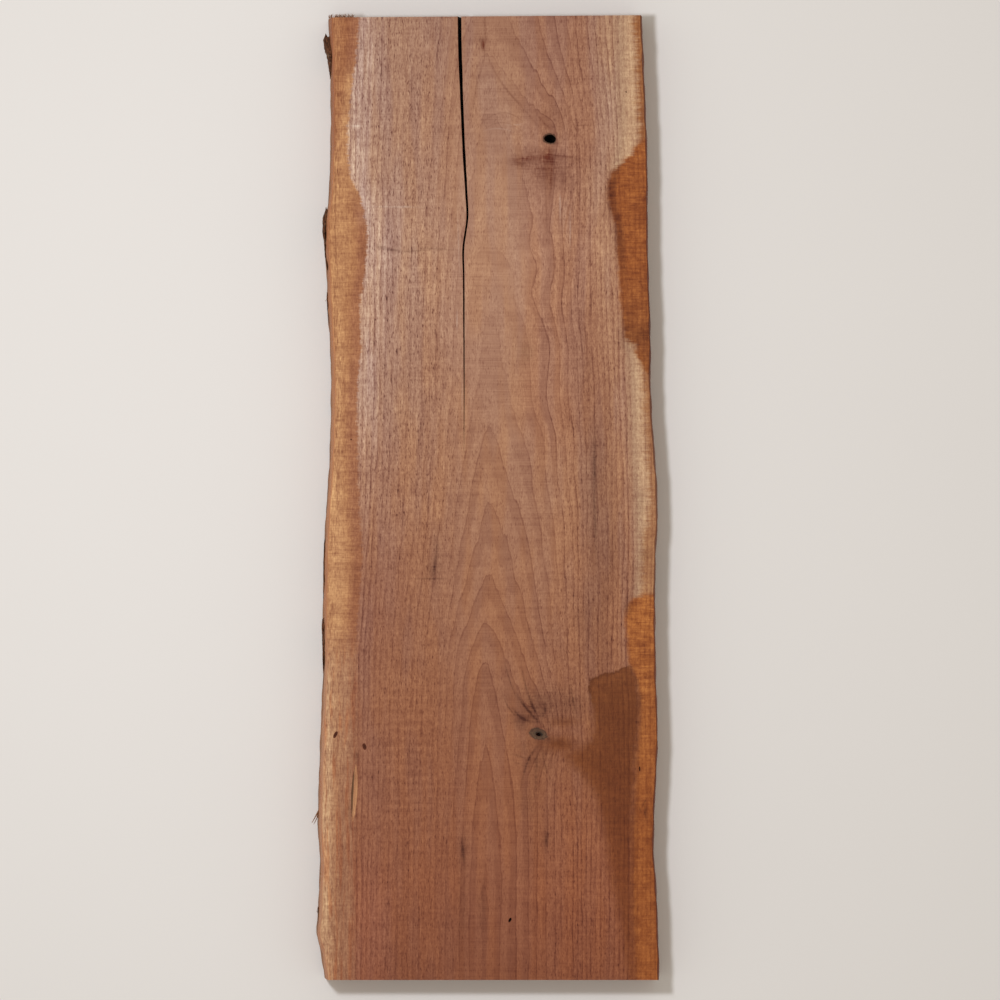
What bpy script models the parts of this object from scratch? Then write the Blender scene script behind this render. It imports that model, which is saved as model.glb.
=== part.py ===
"""A rough-sawn walnut slab with two live edges, lying on its back face.

The slab is one piece of wood. It is a loft of cross-sections along its length: two sawn faces and,
between them, the two natural edges of the trunk. Scraps of bark that the tree grew there are joined to
the left edge. A drying crack runs in from the top end, through the whole thickness, and there are an
open knot hole, a knot with a small pit, three worm pits and a shallow torn groove.

Units are metres. +X is across the slab, +Y is along the grain towards the cracked end, and +Z points
out of the show face. The origin is the middle of the slab's box on its back face. "Along" is a distance
from the foot end, and "down" is a share of the thickness, 0 at the show face and 1 at the back face.
"""

import math

import bmesh
import bpy
import numpy as np

# Driving dimensions
LENGTH = 1.050  # along the grain, at the longest
HALF_WIDTH = 0.1873  # at the widest place of each live edge
THICKNESS = 0.050
TOP_END_FALL = 0.0027  # the top end is cut a little out of square: its left corner is lower
STATIONS = 88  # cross-sections along the length
EDGE_STEPS = 6  # points down each live edge
SHARP_ANGLE = math.radians(40)  # faces that meet at more than this keep a sharp edge

# The live edges, seen from the front: (along, distance out from the middle line)
LEFT_EDGE = [
    (0.000, 0.1784), (0.016, 0.1807), (0.032, 0.1831), (0.049, 0.1873), (0.068, 0.1857),
    (0.098, 0.1846), (0.125, 0.1833), (0.161, 0.1854), (0.218, 0.1845), (0.273, 0.1825),
    (0.348, 0.1798), (0.417, 0.1801), (0.495, 0.1777), (0.560, 0.1735), (0.691, 0.1724),
    (0.734, 0.1752), (0.779, 0.1766), (0.797, 0.1784), (0.829, 0.1781), (0.841, 0.1758),
    (0.903, 0.1722), (0.986, 0.1722), (1.050, 0.1744),
]
RIGHT_EDGE = [
    (0.000, 0.1873), (0.029, 0.1868), (0.065, 0.1855), (0.100, 0.1842), (0.136, 0.1815),
    (0.183, 0.1822), (0.249, 0.1852), (0.277, 0.1855), (0.313, 0.1842), (0.400, 0.1828),
    (0.459, 0.1833), (0.507, 0.1855), (0.547, 0.1842), (0.608, 0.1797), (0.650, 0.1779),
    (0.693, 0.1779), (0.783, 0.1753), (0.908, 0.1738), (0.972, 0.1714), (1.050, 0.1681),
]

# How the live edges run between the two faces: (down, distance in from the edge's widest place)
LEFT_SECTION = [(0.0, 0.0050), (0.2, 0.0032), (0.4, 0.0017), (0.6, 0.0006), (0.8, 0.0), (1.0, 0.0004)]
RIGHT_SECTION = [(0.0, 0.0014), (0.2, 0.0003), (0.4, 0.0), (0.6, 0.0006), (0.8, 0.0019), (1.0, 0.0040)]

# Small lengthwise waves of the wood under the bark: (length, height), in steps with no common measure
RIPPLES = [(0.0470, 0.00050), (0.0290, 0.00035), (0.0171, 0.00025)]
RIPPLE_SLANT = 0.020  # how far the waves run along the grain from one face to the other
RIPPLE_TURN = 2.0  # how far the waves change from one face to the other, in radians
LEFT_PHASE, RIGHT_PHASE = 1.3, 4.1

# The drying crack on the show face: (along, x, width)
CRACK = [
    (1.060, -0.0306, 0.0035), (0.998, -0.0293, 0.0027), (0.952, -0.0282, 0.0025),
    (0.894, -0.0252, 0.0022), (0.860, -0.0233, 0.0019), (0.824, -0.0222, 0.0018),
    (0.809, -0.0236, 0.0019), (0.796, -0.0252, 0.0016), (0.768, -0.0258, 0.0015),
    (0.723, -0.0258, 0.0014), (0.639, -0.0250, 0.0009), (0.600, -0.0253, 0.0005),
]
CRACK_LEAN = 0.0110  # the crack follows a radius of the trunk, so it nears the middle at the back face

# Holes in the show face: (name, x, along, half width, half length, depth, turn in degrees)
KNOT_HOLE = ("knot_hole", 0.0680, 0.9153, 0.0064, 0.0055, 0.0300, 12)
PITS = [
    ("knot_pit", 0.0553, 0.2670, 0.0032, 0.0019, 0.0050, 8),
    ("worm_pit_edge", -0.1654, 0.2670, 0.0016, 0.0042, 0.0040, -28),
    ("worm_pit_border", -0.1339, 0.2540, 0.0020, 0.0042, 0.0040, 16),
    ("worm_pit_low", 0.0245, 0.0653, 0.0015, 0.0030, 0.0035, -26),
    ("torn_groove", -0.1458, 0.2080, 0.0024, 0.0360, 0.0016, 3),
]
HOLE_SIDES = 20
HOLE_TAPER = 0.55  # the knot hole's width at its bottom, as a share of its mouth
HOLE_LEAN = 0.0050  # how far the knot hole leans sideways as it goes in
PIT_SIDES, PIT_RINGS = 16, 10
CUT_PAST = 0.0050  # cutters stand this far out of the wood

# Bark on the left edge: (name, low end along, high end along, thickness, height of its middle, half height)
BARK_SCRAPS = [
    ("bark_top", 0.989, 1.028, 0.0066, 0.023, 0.016),
    ("bark_middle", 0.796, 0.839, 0.0026, 0.024, 0.018),
    ("bark_low", 0.343, 0.387, 0.0018, 0.020, 0.014),
]
BARK_STATIONS = 9
BARK_BITE = 0.0030  # how far a scrap's foot lies in the wood
# Shares of a scrap's thickness and half height from its low end, 0, to its high, torn end, 1
BARK_THICKNESS = [(0.0, 0.12), (0.4, 0.54), (0.8, 0.96), (0.9, 1.0), (1.0, 0.72)]
BARK_HEIGHT = [(0.0, 0.75), (0.35, 1.0), (0.7, 0.92), (1.0, 0.68)]
# The outer corners of a scrap's section, top to bottom: (share of the thickness, share of the half height)
BARK_SECTION = [(0.70, 0.80), (1.00, 0.20), (0.80, -0.70)]


def smooth_through(points, where):
    """The smooth curve through (place, value) points, read at the places in where. It is made of cubic
    pieces, and its slope at each point is the slope between that point's neighbours."""
    place, value = np.array(points).T
    slope = np.gradient(value, place)
    i = np.clip(np.searchsorted(place, where) - 1, 0, len(place) - 2)
    span = place[i + 1] - place[i]
    t = np.clip((where - place[i]) / span, 0.0, 1.0)
    from_start = (1 + 2 * t) * (1 - t) ** 2 * value[i] + t * (1 - t) ** 2 * span * slope[i]
    from_end = t * t * (3 - 2 * t) * value[i + 1] + t * t * (t - 1) * span * slope[i + 1]
    return from_start + from_end


def ripple(along, down, phase):
    """The sum of the small waves, each one shifted by its own multiple of the phase."""
    place = along + RIPPLE_SLANT * down
    total = np.zeros_like(place)
    for k, (length, height) in enumerate(RIPPLES):
        total += height * np.sin(2 * math.pi * place / length + (k + 1) * (phase + RIPPLE_TURN * down))
    return total


def edge_surface(edge, section, phase, along, down):
    """How far out a live edge lies: its outline, less its section's set-back, with the small waves."""
    out = smooth_through(edge, along) - smooth_through(section, down) + ripple(along, down, phase)
    return np.minimum(out, HALF_WIDTH)


def left_out(along, down):
    return edge_surface(LEFT_EDGE, LEFT_SECTION, LEFT_PHASE, along, down)


def right_out(along, down):
    return edge_surface(RIGHT_EDGE, RIGHT_SECTION, RIGHT_PHASE, along, down)


def top_end(x):
    """Where the cut of the top end lies at each x: a straight line that falls to the left."""
    return LENGTH - TOP_END_FALL * (HALF_WIDTH - x) / (2 * HALF_WIDTH)


def make_collection(name):
    collection = bpy.data.collections.new(name)
    bpy.context.scene.collection.children.link(collection)
    return collection


def object_from(bm, name, collection):
    mesh = bpy.data.meshes.new(name)
    bm.to_mesh(mesh)
    bm.free()
    obj = bpy.data.objects.new(name, mesh)
    collection.objects.link(obj)
    return obj


def loft(name, rings, collection):
    """A closed solid through rings of equally many points, with a flat cap at each end."""
    bm = bmesh.new()
    loops = [[bm.verts.new(point) for point in ring] for ring in rings]
    count = len(loops[0])
    for here, there in zip(loops, loops[1:]):
        for k in range(count):
            bm.faces.new((here[k], here[(k + 1) % count], there[(k + 1) % count], there[k]))
    bm.faces.new(loops[0])
    bm.faces.new(loops[-1])
    bmesh.ops.recalc_face_normals(bm, faces=bm.faces)
    return object_from(bm, name, collection)


def slab_blank(collection):
    """The slab before any cut: cross-sections that run down the right edge and back up the left one."""
    down = np.linspace(0.0, 1.0, EDGE_STEPS)
    heights = THICKNESS * (1 - np.concatenate([down, down[::-1]]))
    rings = []
    for along in np.linspace(0.0, LENGTH, STATIONS):
        right = right_out(np.full(EDGE_STEPS, along), down)
        left = left_out(np.full(EDGE_STEPS, along), down)
        x = np.concatenate([right, -left[::-1]])
        y = along * top_end(x) / LENGTH - LENGTH / 2
        rings.append(np.stack([x, y, heights], axis=1))
    return loft("slab", rings, collection)


def crack_cutter(collection):
    """A thin wedge along the crack, through the whole thickness, that leans towards the trunk's middle."""
    past = CRACK_LEAN * CUT_PAST / THICKNESS
    high, low = THICKNESS + CUT_PAST, -CUT_PAST
    rings = []
    for along, x, width in CRACK:
        y = along - LENGTH / 2
        front, back = x - past, x + CRACK_LEAN + past
        corners = [(front - width / 2, high), (front + width / 2, high),
                   (back + width / 2, low), (back - width / 2, low)]
        rings.append([(corner_x, y, z) for corner_x, z in corners])
    return loft("crack", rings, collection)


def place_on_face(cutter, x, along, turn):
    cutter.location = (x, along - LENGTH / 2, THICKNESS)
    cutter.rotation_euler = (0.0, 0.0, math.radians(turn))
    return cutter


def knot_hole_cutter(collection):
    """A tapered, slightly leaning hole where a small dead branch has fallen out."""
    name, x, along, half_width, half_length, depth, turn = KNOT_HOLE
    bm = bmesh.new()
    bmesh.ops.create_cone(
        bm, cap_ends=True, segments=HOLE_SIDES, radius1=HOLE_TAPER, radius2=1.0, depth=1.0)
    for vert in bm.verts:
        sunk = 0.5 - vert.co.z
        vert.co.x = vert.co.x * half_width + HOLE_LEAN * sunk
        vert.co.y *= half_length
        vert.co.z = CUT_PAST - sunk * (depth + CUT_PAST)
    return place_on_face(object_from(bm, name, collection), x, along, turn)


def pit_cutter(pit, collection):
    """A shallow pit: an ellipsoid whose middle lies on the show face."""
    name, x, along, half_width, half_length, depth, turn = pit
    bm = bmesh.new()
    bmesh.ops.create_uvsphere(bm, u_segments=PIT_SIDES, v_segments=PIT_RINGS, radius=1.0)
    bmesh.ops.scale(bm, vec=(half_width, half_length, depth), verts=bm.verts)
    return place_on_face(object_from(bm, name, collection), x, along, turn)


def bark_scrap(scrap, collection):
    """A flake of bark, thickest near its torn high end, with its foot sunk in the wood."""
    name, start, end, thickness, height, half_height = scrap
    shares = np.linspace(0.0, 1.0, BARK_STATIONS)
    along = start + (end - start) * shares
    wood = -left_out(along, np.full(BARK_STATIONS, 1 - height / THICKNESS))
    thick = thickness * smooth_through(BARK_THICKNESS, shares)
    tall = half_height * smooth_through(BARK_HEIGHT, shares)
    rings = []
    for k in range(BARK_STATIONS):
        y = along[k] - LENGTH / 2
        foot = wood[k] + BARK_BITE
        ring = [(foot, y, height - tall[k]), (foot, y, height + tall[k])]
        ring += [(wood[k] - out * thick[k], y, height + up * tall[k]) for out, up in BARK_SECTION]
        rings.append(ring)
    return loft(name, rings, collection)


def add_boolean(obj, other, operation):
    other.hide_render = True
    other.display_type = "WIRE"
    modifier = obj.modifiers.new(f"{operation.title()} {other.name}", "BOOLEAN")
    modifier.operation = operation
    modifier.solver = "EXACT"
    modifier.object = other


def walnut_material():
    material = bpy.data.materials.new("walnut")
    material.use_nodes = True
    shader = material.node_tree.nodes["Principled BSDF"]
    shader.inputs["Base Color"].default_value = (0.30, 0.13, 0.07, 1.0)
    shader.inputs["Roughness"].default_value = 0.72
    shader.inputs["Metallic"].default_value = 0.0
    return material


def main():
    for obj in list(bpy.data.objects):
        bpy.data.objects.remove(obj, do_unlink=True)
    parts = make_collection("walnut_slab")
    cutters = make_collection("cutters")

    slab = slab_blank(parts)
    slab.data.materials.append(walnut_material())
    slab.data.shade_smooth()
    slab.data.set_sharp_from_angle(angle=SHARP_ANGLE)
    for scrap in BARK_SCRAPS:
        add_boolean(slab, bark_scrap(scrap, cutters), "UNION")
    add_boolean(slab, crack_cutter(cutters), "DIFFERENCE")
    add_boolean(slab, knot_hole_cutter(cutters), "DIFFERENCE")
    for pit in PITS:
        add_boolean(slab, pit_cutter(pit, cutters), "DIFFERENCE")


main()
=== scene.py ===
"""The looks of the walnut slab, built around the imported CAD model.

The slab is drawn as one closed surface: two sawn faces, two live edges, the cut ends, the walls of the
drying crack and the holes. Its wood is a solid one. Every point knows how far it lies from the trunk's
middle line, counted in growth rings, so that the faces, the edges and the end grain show the same rings.
Bark scraps and torn fibres are pieces of their own.

Places and sizes are in millimetres, and are put into the meshes in metres. "Along" is a distance from
the foot end, "x" is across the slab, "depth" is below the show face, and "down" is depth as a share of
the thickness.
"""

import itertools
import math

import bmesh
import bpy
import numpy as np
from bpy.props import FloatProperty, FloatVectorProperty, IntProperty, PointerProperty
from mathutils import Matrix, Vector


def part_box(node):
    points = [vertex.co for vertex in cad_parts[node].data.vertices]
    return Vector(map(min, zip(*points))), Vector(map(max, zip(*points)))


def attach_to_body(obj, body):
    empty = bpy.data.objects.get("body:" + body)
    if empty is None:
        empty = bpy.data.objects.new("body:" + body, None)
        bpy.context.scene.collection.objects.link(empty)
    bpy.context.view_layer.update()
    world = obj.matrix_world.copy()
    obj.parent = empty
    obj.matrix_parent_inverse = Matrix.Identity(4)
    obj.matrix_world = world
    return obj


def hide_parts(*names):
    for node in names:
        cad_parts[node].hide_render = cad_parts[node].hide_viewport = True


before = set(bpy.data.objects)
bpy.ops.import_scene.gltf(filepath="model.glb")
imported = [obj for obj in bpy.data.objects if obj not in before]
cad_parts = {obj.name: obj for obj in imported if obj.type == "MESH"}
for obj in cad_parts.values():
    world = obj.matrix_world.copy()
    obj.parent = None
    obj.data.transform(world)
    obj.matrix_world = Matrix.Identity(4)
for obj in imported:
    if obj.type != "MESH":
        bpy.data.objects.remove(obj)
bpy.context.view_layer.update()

bl_info = {
    "name": "Walnut Slab",
    "version": (1, 0, 0),
    "blender": (4, 5, 0),
    "location": "3D View > Sidebar > Walnut Slab",
    "description": "Builds the surfaces, the wood and the stage of a rough-sawn walnut slab",
    "category": "Add Mesh",
}

MM = 0.001
LOW, HIGH = (np.array(corner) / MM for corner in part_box("slab"))
FOOT = LOW[1]
LENGTH = -2 * FOOT
HALF_WIDTH = HIGH[0]
THICKNESS = HIGH[2]
TOP_END_FALL = 2.7  # the top end is cut a little out of square: its left corner is lower

# The live edges seen from the front: (along, distance out from the middle line)
LEFT_EDGE = [
    (0, 178.4), (16, 180.7), (32, 183.1), (49, 187.3), (68, 185.7), (98, 184.6), (125, 183.3),
    (161, 185.4), (218, 184.5), (273, 182.5), (348, 179.8), (417, 180.1), (495, 177.7), (560, 173.5),
    (691, 172.4), (734, 175.2), (779, 176.6), (797, 178.4), (829, 178.1), (841, 175.8), (903, 172.2),
    (986, 172.2), (1050, 174.4),
]
RIGHT_EDGE = [
    (0, 187.3), (29, 186.8), (65, 185.5), (100, 184.2), (136, 181.5), (183, 182.2), (249, 185.2),
    (277, 185.5), (313, 184.2), (400, 182.8), (459, 183.3), (507, 185.5), (547, 184.2), (608, 179.7),
    (650, 177.9), (693, 177.9), (783, 175.3), (908, 173.8), (972, 171.4), (1050, 168.1),
]
# How the live edges run between the two faces: (down, distance in from the edge's widest place)
LEFT_SECTION = [(0, 5), (0.2, 3.2), (0.4, 1.7), (0.6, 0.6), (0.8, 0), (1, 0.4)]
RIGHT_SECTION = [(0, 1.4), (0.2, 0.3), (0.4, 0), (0.6, 0.6), (0.8, 1.9), (1, 4)]
RIPPLES = [(47, 0.25), (29, 0.17), (17.1, 0.12)]  # lengthwise waves: (length, height)
RIPPLE_SLANT, RIPPLE_TURN = 20, 2
LEFT_PHASE, RIGHT_PHASE = 1.3, 4.1  # so that the edges' waves differ

# The drying crack on the show face: (along, x, width). It leans towards the middle as it goes down.
CRACK = [
    (1060, -30.6, 4.2), (1010, -29.8, 4.1), (968, -28.4, 3.5), (894, -25.2, 3), (860, -23.3, 2.6),
    (828, -22.2, 2.2), (814, -24.2, 2.2), (800, -26.2, 2.1), (768, -26, 1.9), (723, -25.8, 1.7),
    (680, -25.6, 1.4), (639, -25.4, 1), (600, -25.5, 0.6), (568, -25.6, 0), (520, -25.8, 0),
    (400, -25, 0), (0, -25, 0),
]
CRACK_LEAN, CRACK_END = 11, 568
CRACK_LEAST = 0.05  # its width just above its end
CHATTER = 10.9  # from one ripple that the saw left to the next

# Holes in the show face: (x, along, half width, half length, depth, turn in degrees, lean, kind)
HOLES = {
    "knot_hole": (68, 915.3, 6.5, 4.8, 30, -8, 5, "hole"),
    "knot_pit": (55.3, 267, 3, 1.9, 5, -12, 0.5, "hole"),
    "worm_pit_edge": (-165.4, 267, 1.8, 4.2, 1.8, -28, 0.4, "hole"),
    "worm_pit_border": (-133.9, 254, 2.1, 3.8, 1.8, 16, 0.4, "hole"),
    "worm_pit_low": (24.5, 65.3, 1.5, 2.9, 3.5, -26, 0.3, "hole"),
    "worm_dot_high": (150.7, 966.2, 0.9, 0.9, 2, 0, 0.2, "hole"),
    "worm_dot_left": (-148.5, 588.1, 0.8, 1, 2, 0, 0.2, "hole"),
    "edge_slit": (165.6, 229.6, 0.8, 3, 2, 4, 0.2, "hole"),
    "torn_groove": (-145, 203, 3.4, 33, 1.8, -3, -1, "torn"),
}
# How the holes narrow: (share of the depth, share of the mouth's size)
HOLE_PROFILE = [(0, 1), (0.05, 0.97), (0.2, 0.9), (0.45, 0.8), (0.75, 0.64), (0.93, 0.4)]
GROOVE_PROFILE = [(0, 1), (0.45, 0.93), (0.75, 0.8), (0.9, 0.62), (0.97, 0.42), (1, 0.22)]

# The trunk. Its rings are RING_WIDTH apart, and its middle line runs below the show face.
RING_WIDTH = 5.5
RING_TIPS = [  # where the show face cuts which ring over the middle line: (along, ring)
    (-5, 4.95), (120, 5.05), (174, 5.2), (218, 5.6), (263, 6), (348, 7), (392, 8), (442, 9), (516, 10),
    (590, 11), (713, 12), (822, 13), (938, 14), (1007, 15), (1050, 15.6), (1132, 16.2),
]
PITH_DEPTH = [
    (-5, 27), (120, 28), (239, 31), (348, 39), (457, 50), (588, 60), (822, 72), (1050, 85),
    (1132, 88),
]
PITH_LINE = [(-5, -3.8), (267, -2.2), (348, -2.7), (443, 1.6), (588, 4.4), (822, 1.6), (1066, 0.5)]
# The rings grew closer together on the right: (distance from the middle line, the distance it counts as)
RING_SPREAD = [
    (-400, -400), (-200, -200), (-60, -59), (-35, -34), (-20, -21.5), (-10, -12.5), (0, 0), (10, 12.5),
    (20, 19), (42, 31), (55, 39), (72, 50), (90, 65), (110, 87), (130, 110), (150, 132), (190, 178),
]
TIP_REACH = 45  # how far to the sides the tips in RING_TIPS count
# Branches bend the rings round them: (x, along, dip, half width, reach above, reach below)
BRANCHES = [
    (92, 915.3, 9, 50, 70, 110), (68, 915.3, 4, 16, 30, 22), (58, 267, 11, 21, 52, 36),
]
BRANCH_FALL = 0.5  # a branch lies this much lower for each millimetre of depth
# The branches' own wood: (x, along, half width, half length, turn in degrees)
KNOTS = [(55.6, 267.6, 10, 6.2, -14), (68, 915.3, 7.4, 5.6, -8)]
# Waves in the grain right of the middle: (x, along, half width, half length, height, length)
GRAIN_WAVE = (66, 700, 42, 175, 1.3, 88)

# Where the heartwood ends on each side of the show face: (along, x)
LEFT_HEART = [
    (0, -145), (76, -144), (141, -145), (207, -143.6), (261, -142), (370, -142), (413, -140), (447, -137),
    (522, -140), (569, -141), (619, -142), (659, -140), (684, -137.6), (737, -138.7), (754, -135.5),
    (841, -135.5), (856, -140), (874, -148.5), (903, -151.8), (949, -150), (974, -147), (1017, -141.5),
    (1055, -139.3),
]
RIGHT_HEART = [
    (-5, 159.4), (54, 157), (109, 156), (163, 157), (239, 160.5), (326, 161.6), (343, 155), (370, 152),
    (400, 150.7), (419, 158), (457, 161.6), (522, 159.4), (577, 156), (658, 154), (691, 149.6), (740, 144),
    (794, 140), (822, 137.6), (842, 132), (860, 130), (879, 134.4), (903, 141), (947, 143), (1001, 142),
    (1055, 140),
]
# Outlines on the show face: (along, x). Damp has turned the sapwood orange, and stained the heartwood.
ORANGE_UPPER = [
    (707, 122), (699, 146), (691, 159), (675, 164), (663, 171), (657, 179), (655, 199), (918, 199),
    (918, 179), (911, 163), (900, 157), (889, 146), (879, 134), (873, 122),
]
ORANGE_LOWER = [
    (-22, 122), (-22, 199), (421, 199), (419, 172), (416, 157), (408, 144), (400, 122), (370, 122),
]
STAIN = [
    (310, 111.5), (296, 114), (280, 114), (262, 112), (252, 98), (245, 82), (230, 96), (215, 109),
    (198, 117), (174, 124), (131, 131), (87, 139), (49, 146), (22, 150), (-22, 154), (-22, 190),
    (344, 190), (342, 149.6), (335, 135.5), (331, 122), (325, 109.4),
]
# Tongues of the stain beside the lower knot: (x, along, half width, half length)
STAIN_TONGUES = [(81, 280.5, 9, 3.4), (78, 256.5, 20, 8)]

# Dark and light places on the show face: (x, along, half width, half length, amount). Light is below 0.
SMUDGES = [
    (-4.6, 1020, 5, 8, 0.4), (66, 936, 17, 14, 0.26), (60, 892, 36, 6, 0.36), (35, 889.5, 10, 6, 0.44),
    (67, 896, 8, 9, 0.5), (62, 880, 22, 9, 0.4), (70, 869, 24, 12, 0.34), (40, 196, 12, 18, 0.14),
    (-60.7, 447, 7, 9, 0.26), (-55, 464, 4, 22, 0.22), (-25.8, 143, 4.4, 15, 0.4),
    (-26.5, 82, 5, 50, 0.2), (64.2, 153, 5, 12, 0.26), (-4.6, 82, 4.4, 28, 0.28), (-75, 797, 44, 7, 0.12),
    (41.9, 684.4, 9, 12, 0.24), (167, 702, 9, 10, 0.26), (134, 853, 5, 18, 0.5),
    (141, 812, 4.6, 20, 0.44), (152.9, 404, 4.6, 7, 0.46), (58, 295, 15, 13, 0.4), (38, 284, 13, 8, 0.3),
    (92, 298, 17, 16, 0.24), (55, 240, 18, 16, 0.26), (-143, 243.5, 4, 6, 0.4), (-149, 185, 4.4, 8, 0.4),
    (172.5, 462.4, 6, 6, 0.22), (168, 520, 4, 16, 0.22), (116.4, 535, 4, 62, 0.2),
    (52, 186, 14, 60, 0.14), (110, 690, 14, 60, 0.1), (150, 705, 9, 16, 0.26),
    (35.4, 930.3, 16, 7, -0.05), (-144.5, 929, 3.6, 3, -0.24), (84, 830, 9, 30, -0.06),
    (-130, 830, 12, 9, -0.06), (52, 900, 22, 6.5, 0.3), (38, 938, 14, 6, 0.12), (98, 874, 6, 22, -0.06),
    (55, 308, 42, 12, 0.2), (42, 287, 14, 9, 0.14), (37, 277, 7, 7, 0.26), (38, 256, 11, 10, 0.16),
]
# Fine marks: (x, along, half width, half length, turn in degrees, bend, amount). A bent mark is a parabola.
MARKS = [
    (43, 294.9, 1.5, 17, 39, 0.0035, 0.66), (36.2, 286, 1.6, 12, 54, 0.017, 0.56),
    (49, 297.6, 1.6, 8, 29, 0.01, 0.46), (42, 318, 1.2, 22, 17, 0.004, 0.4),
    (23.4, 328.6, 0.8, 20, 18, 0.002, 0.4), (23.4, 296, 0.9, 11, 33, 0.01, 0.45),
    (92.5, 308, 0.9, 18, 10, 0.004, 0.34), (62, 292, 1.4, 9, -14, -0.01, 0.34),
    (36, 243, 9, 1.2, -18, 0, 0.28), (33, 236, 7, 1, -20, 0, 0.24), (46, 243, 1.4, 14, -30, 0.012, 0.36),
    (53, 226, 1.4, 25, -3, 0, 0.3), (62, 236, 1, 17, 14, 0.006, 0.34), (40, 226, 1, 18, -16, 0.004, 0.3),
    (62, 266.3, 1.2, 1.5, 0, 0, 0.8), (66, 262.3, 2.2, 1.3, -30, 0, 0.6), (54, 281, 0.9, 3.5, 4, 0, 0.5),
    (69, 276, 0.9, 4.5, 22, 0, 0.4), (84, 896, 12, 1.2, -4, 0, 0.5), (42, 894, 13, 1.8, 6, 0, 0.4),
    (66, 883.4, 22, 1, 2, 0, 0.3), (67.5, 900, 1.6, 6, 8, 0, 0.36), (97.2, 890, 0.8, 40, 1, 0, 0.5),
    (94, 930, 0.8, 14, 24, 0.01, 0.44), (88, 838, 0.8, 26, -12, 0.002, 0.4),
    (106, 930, 11, 0.9, 3, 0, 0.4), (69, 868, 1.1, 22, -4, 0, 0.36), (64, 836, 1, 24, 2, 0, 0.3),
    (63, 926, 2, 2, 0, 0, 0.36), (60, 934, 1.2, 12, 42, 0.01, 0.34), (-4.6, 1017, 1.8, 7, 4, 0, 0.6),
    (-2.6, 1037, 1, 15, 3, 0, 0.4), (-165.6, 870, 0.8, 80, 0, 0, 0.4),
    (-163.2, 1000, 0.8, 40, 1, 0, 0.34), (-163, 963, 0.9, 2.4, 0, 0, 0.6),
    (170, 192, 0.8, 4.6, -28, 0, 0.6), (166, 185, 0.9, 3.6, 24, 0, 0.5), (171, 182, 0.7, 3, -10, 0, 0.44),
    (17.2, 943.7, 0.9, 26, 90, -0.021, 0.3), (16, 933, 0.8, 20, 90, -0.02, 0.2),
    (12, 926.5, 0.8, 13, 88, -0.012, -0.12), (31, 930.6, 0.7, 9, 95, 0.012, -0.12),
    (-12, 972, 1.2, 34, -12, 0.002, 0.3), (17, 974, 1.2, 32, 36, 0.004, 0.3),
    (37, 950, 1.1, 26, 42, 0, 0.24), (-104, 794.4, 13, 1.3, -6, 0, 0.4),
    (-116, 798, 5, 1.8, -14, 0, 0.46), (-82, 793, 12, 1.2, 4, 0, 0.34), (-56, 795.6, 15, 1, -3, 0, 0.3),
    (-57.5, 452, 1.4, 13, -8, 0, 0.5), (-62, 436.8, 14, 0.9, 0, 0, 0.38),
    (116.4, 562, 1.4, 24, 0, 0, 0.5), (117, 500, 1.5, 28, 2, 0, 0.36), (-26.5, 138, 1.3, 11, 6, 0, 0.5),
    (64, 152, 1.3, 9, -5, 0, 0.38), (-33, 1008, 1, 22, 0, 0, 0.22), (172, 184, 2, 9, 4, 0, 0.44),
    (-105, 841.2, 24, 0.8, -1, 0, -0.18), (-89, 841.6, 5, 1, 0, 0, -0.22),
    (-143, 929.4, 6, 0.8, 0, 0, -0.24), (79, 843, 1, 14, 0, 0, -0.22), (90, 816, 0.9, 16, 0, 0, -0.2),
    (-33.2, 718, 0.8, 9, 0, 0, -0.24), (-27.6, 640, 0.7, 26, 0, 0, -0.14),
    (-31.5, 800, 0.8, 30, 2, 0, -0.16),
]
SMUDGE_DEPTH = 14
ALL_DEPTHS = 1e4  # the thickness of a pattern that is the same at every depth

# How finely the slab is drawn
ROWS = 380  # faces along the slab
LEFT_COLUMNS, RIGHT_COLUMNS = 46, 64
EDGE_STEPS = 18  # faces from the show face to the back
NARROW = 0.6  # the width of the first column beside an arris
KINDS = ["sawn", "live", "end", "hole", "torn"]
SHARP_ANGLE = math.radians(50)  # edges that bend more than this are drawn sharp
HOLE_SEED, BARK_SEED, FIBRE_SEED = 200, 400, 500  # where each kind of piece starts in the noise

# Bark on the left edge: (low end along, high end along, thickness, depth of its middle, half height)
BARK_SCRAPS = {
    "bark_top": (986, 1027, 6.6, 27, 16),
    "bark_middle": (792, 838, 2.6, 26, 18),
    "bark_low": (340, 389, 1.8, 30, 14),
}
BARK_FILMS = {
    "film_middle": (772, 794, 1, 24, 12),
    "film_under": (726, 746, 0.9, 27, 9),
    "film_long": (415, 476, 0.8, 26, 8),
    "film_foot": (66, 74, 1.2, 25, 5),
}
# A scrap's shape: (share of its length, share of its size), and its section as (out, up)
BARK_THICKNESS = [(0, 0.12), (0.4, 0.54), (0.8, 0.96), (0.9, 1), (1, 0.72)]
BARK_HEIGHT = [(0, 0.42), (0.12, 0.76), (0.4, 1), (0.7, 0.9), (0.9, 0.76), (1, 0.5)]
BARK_SECTION = [
    (0, 1), (0.25, 0.98), (0.7, 0.8), (1, 0.2), (0.8, -0.7), (0.3, -0.97), (0, -1),
]
BARK_BITE = 2  # how far a scrap's foot lies in the wood
BARK_ALONG, BARK_ROUND = 48, 40

END_FIBRE_SPAN = (-173, -146)  # the x of the first and the last fibre on the cracked end
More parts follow.
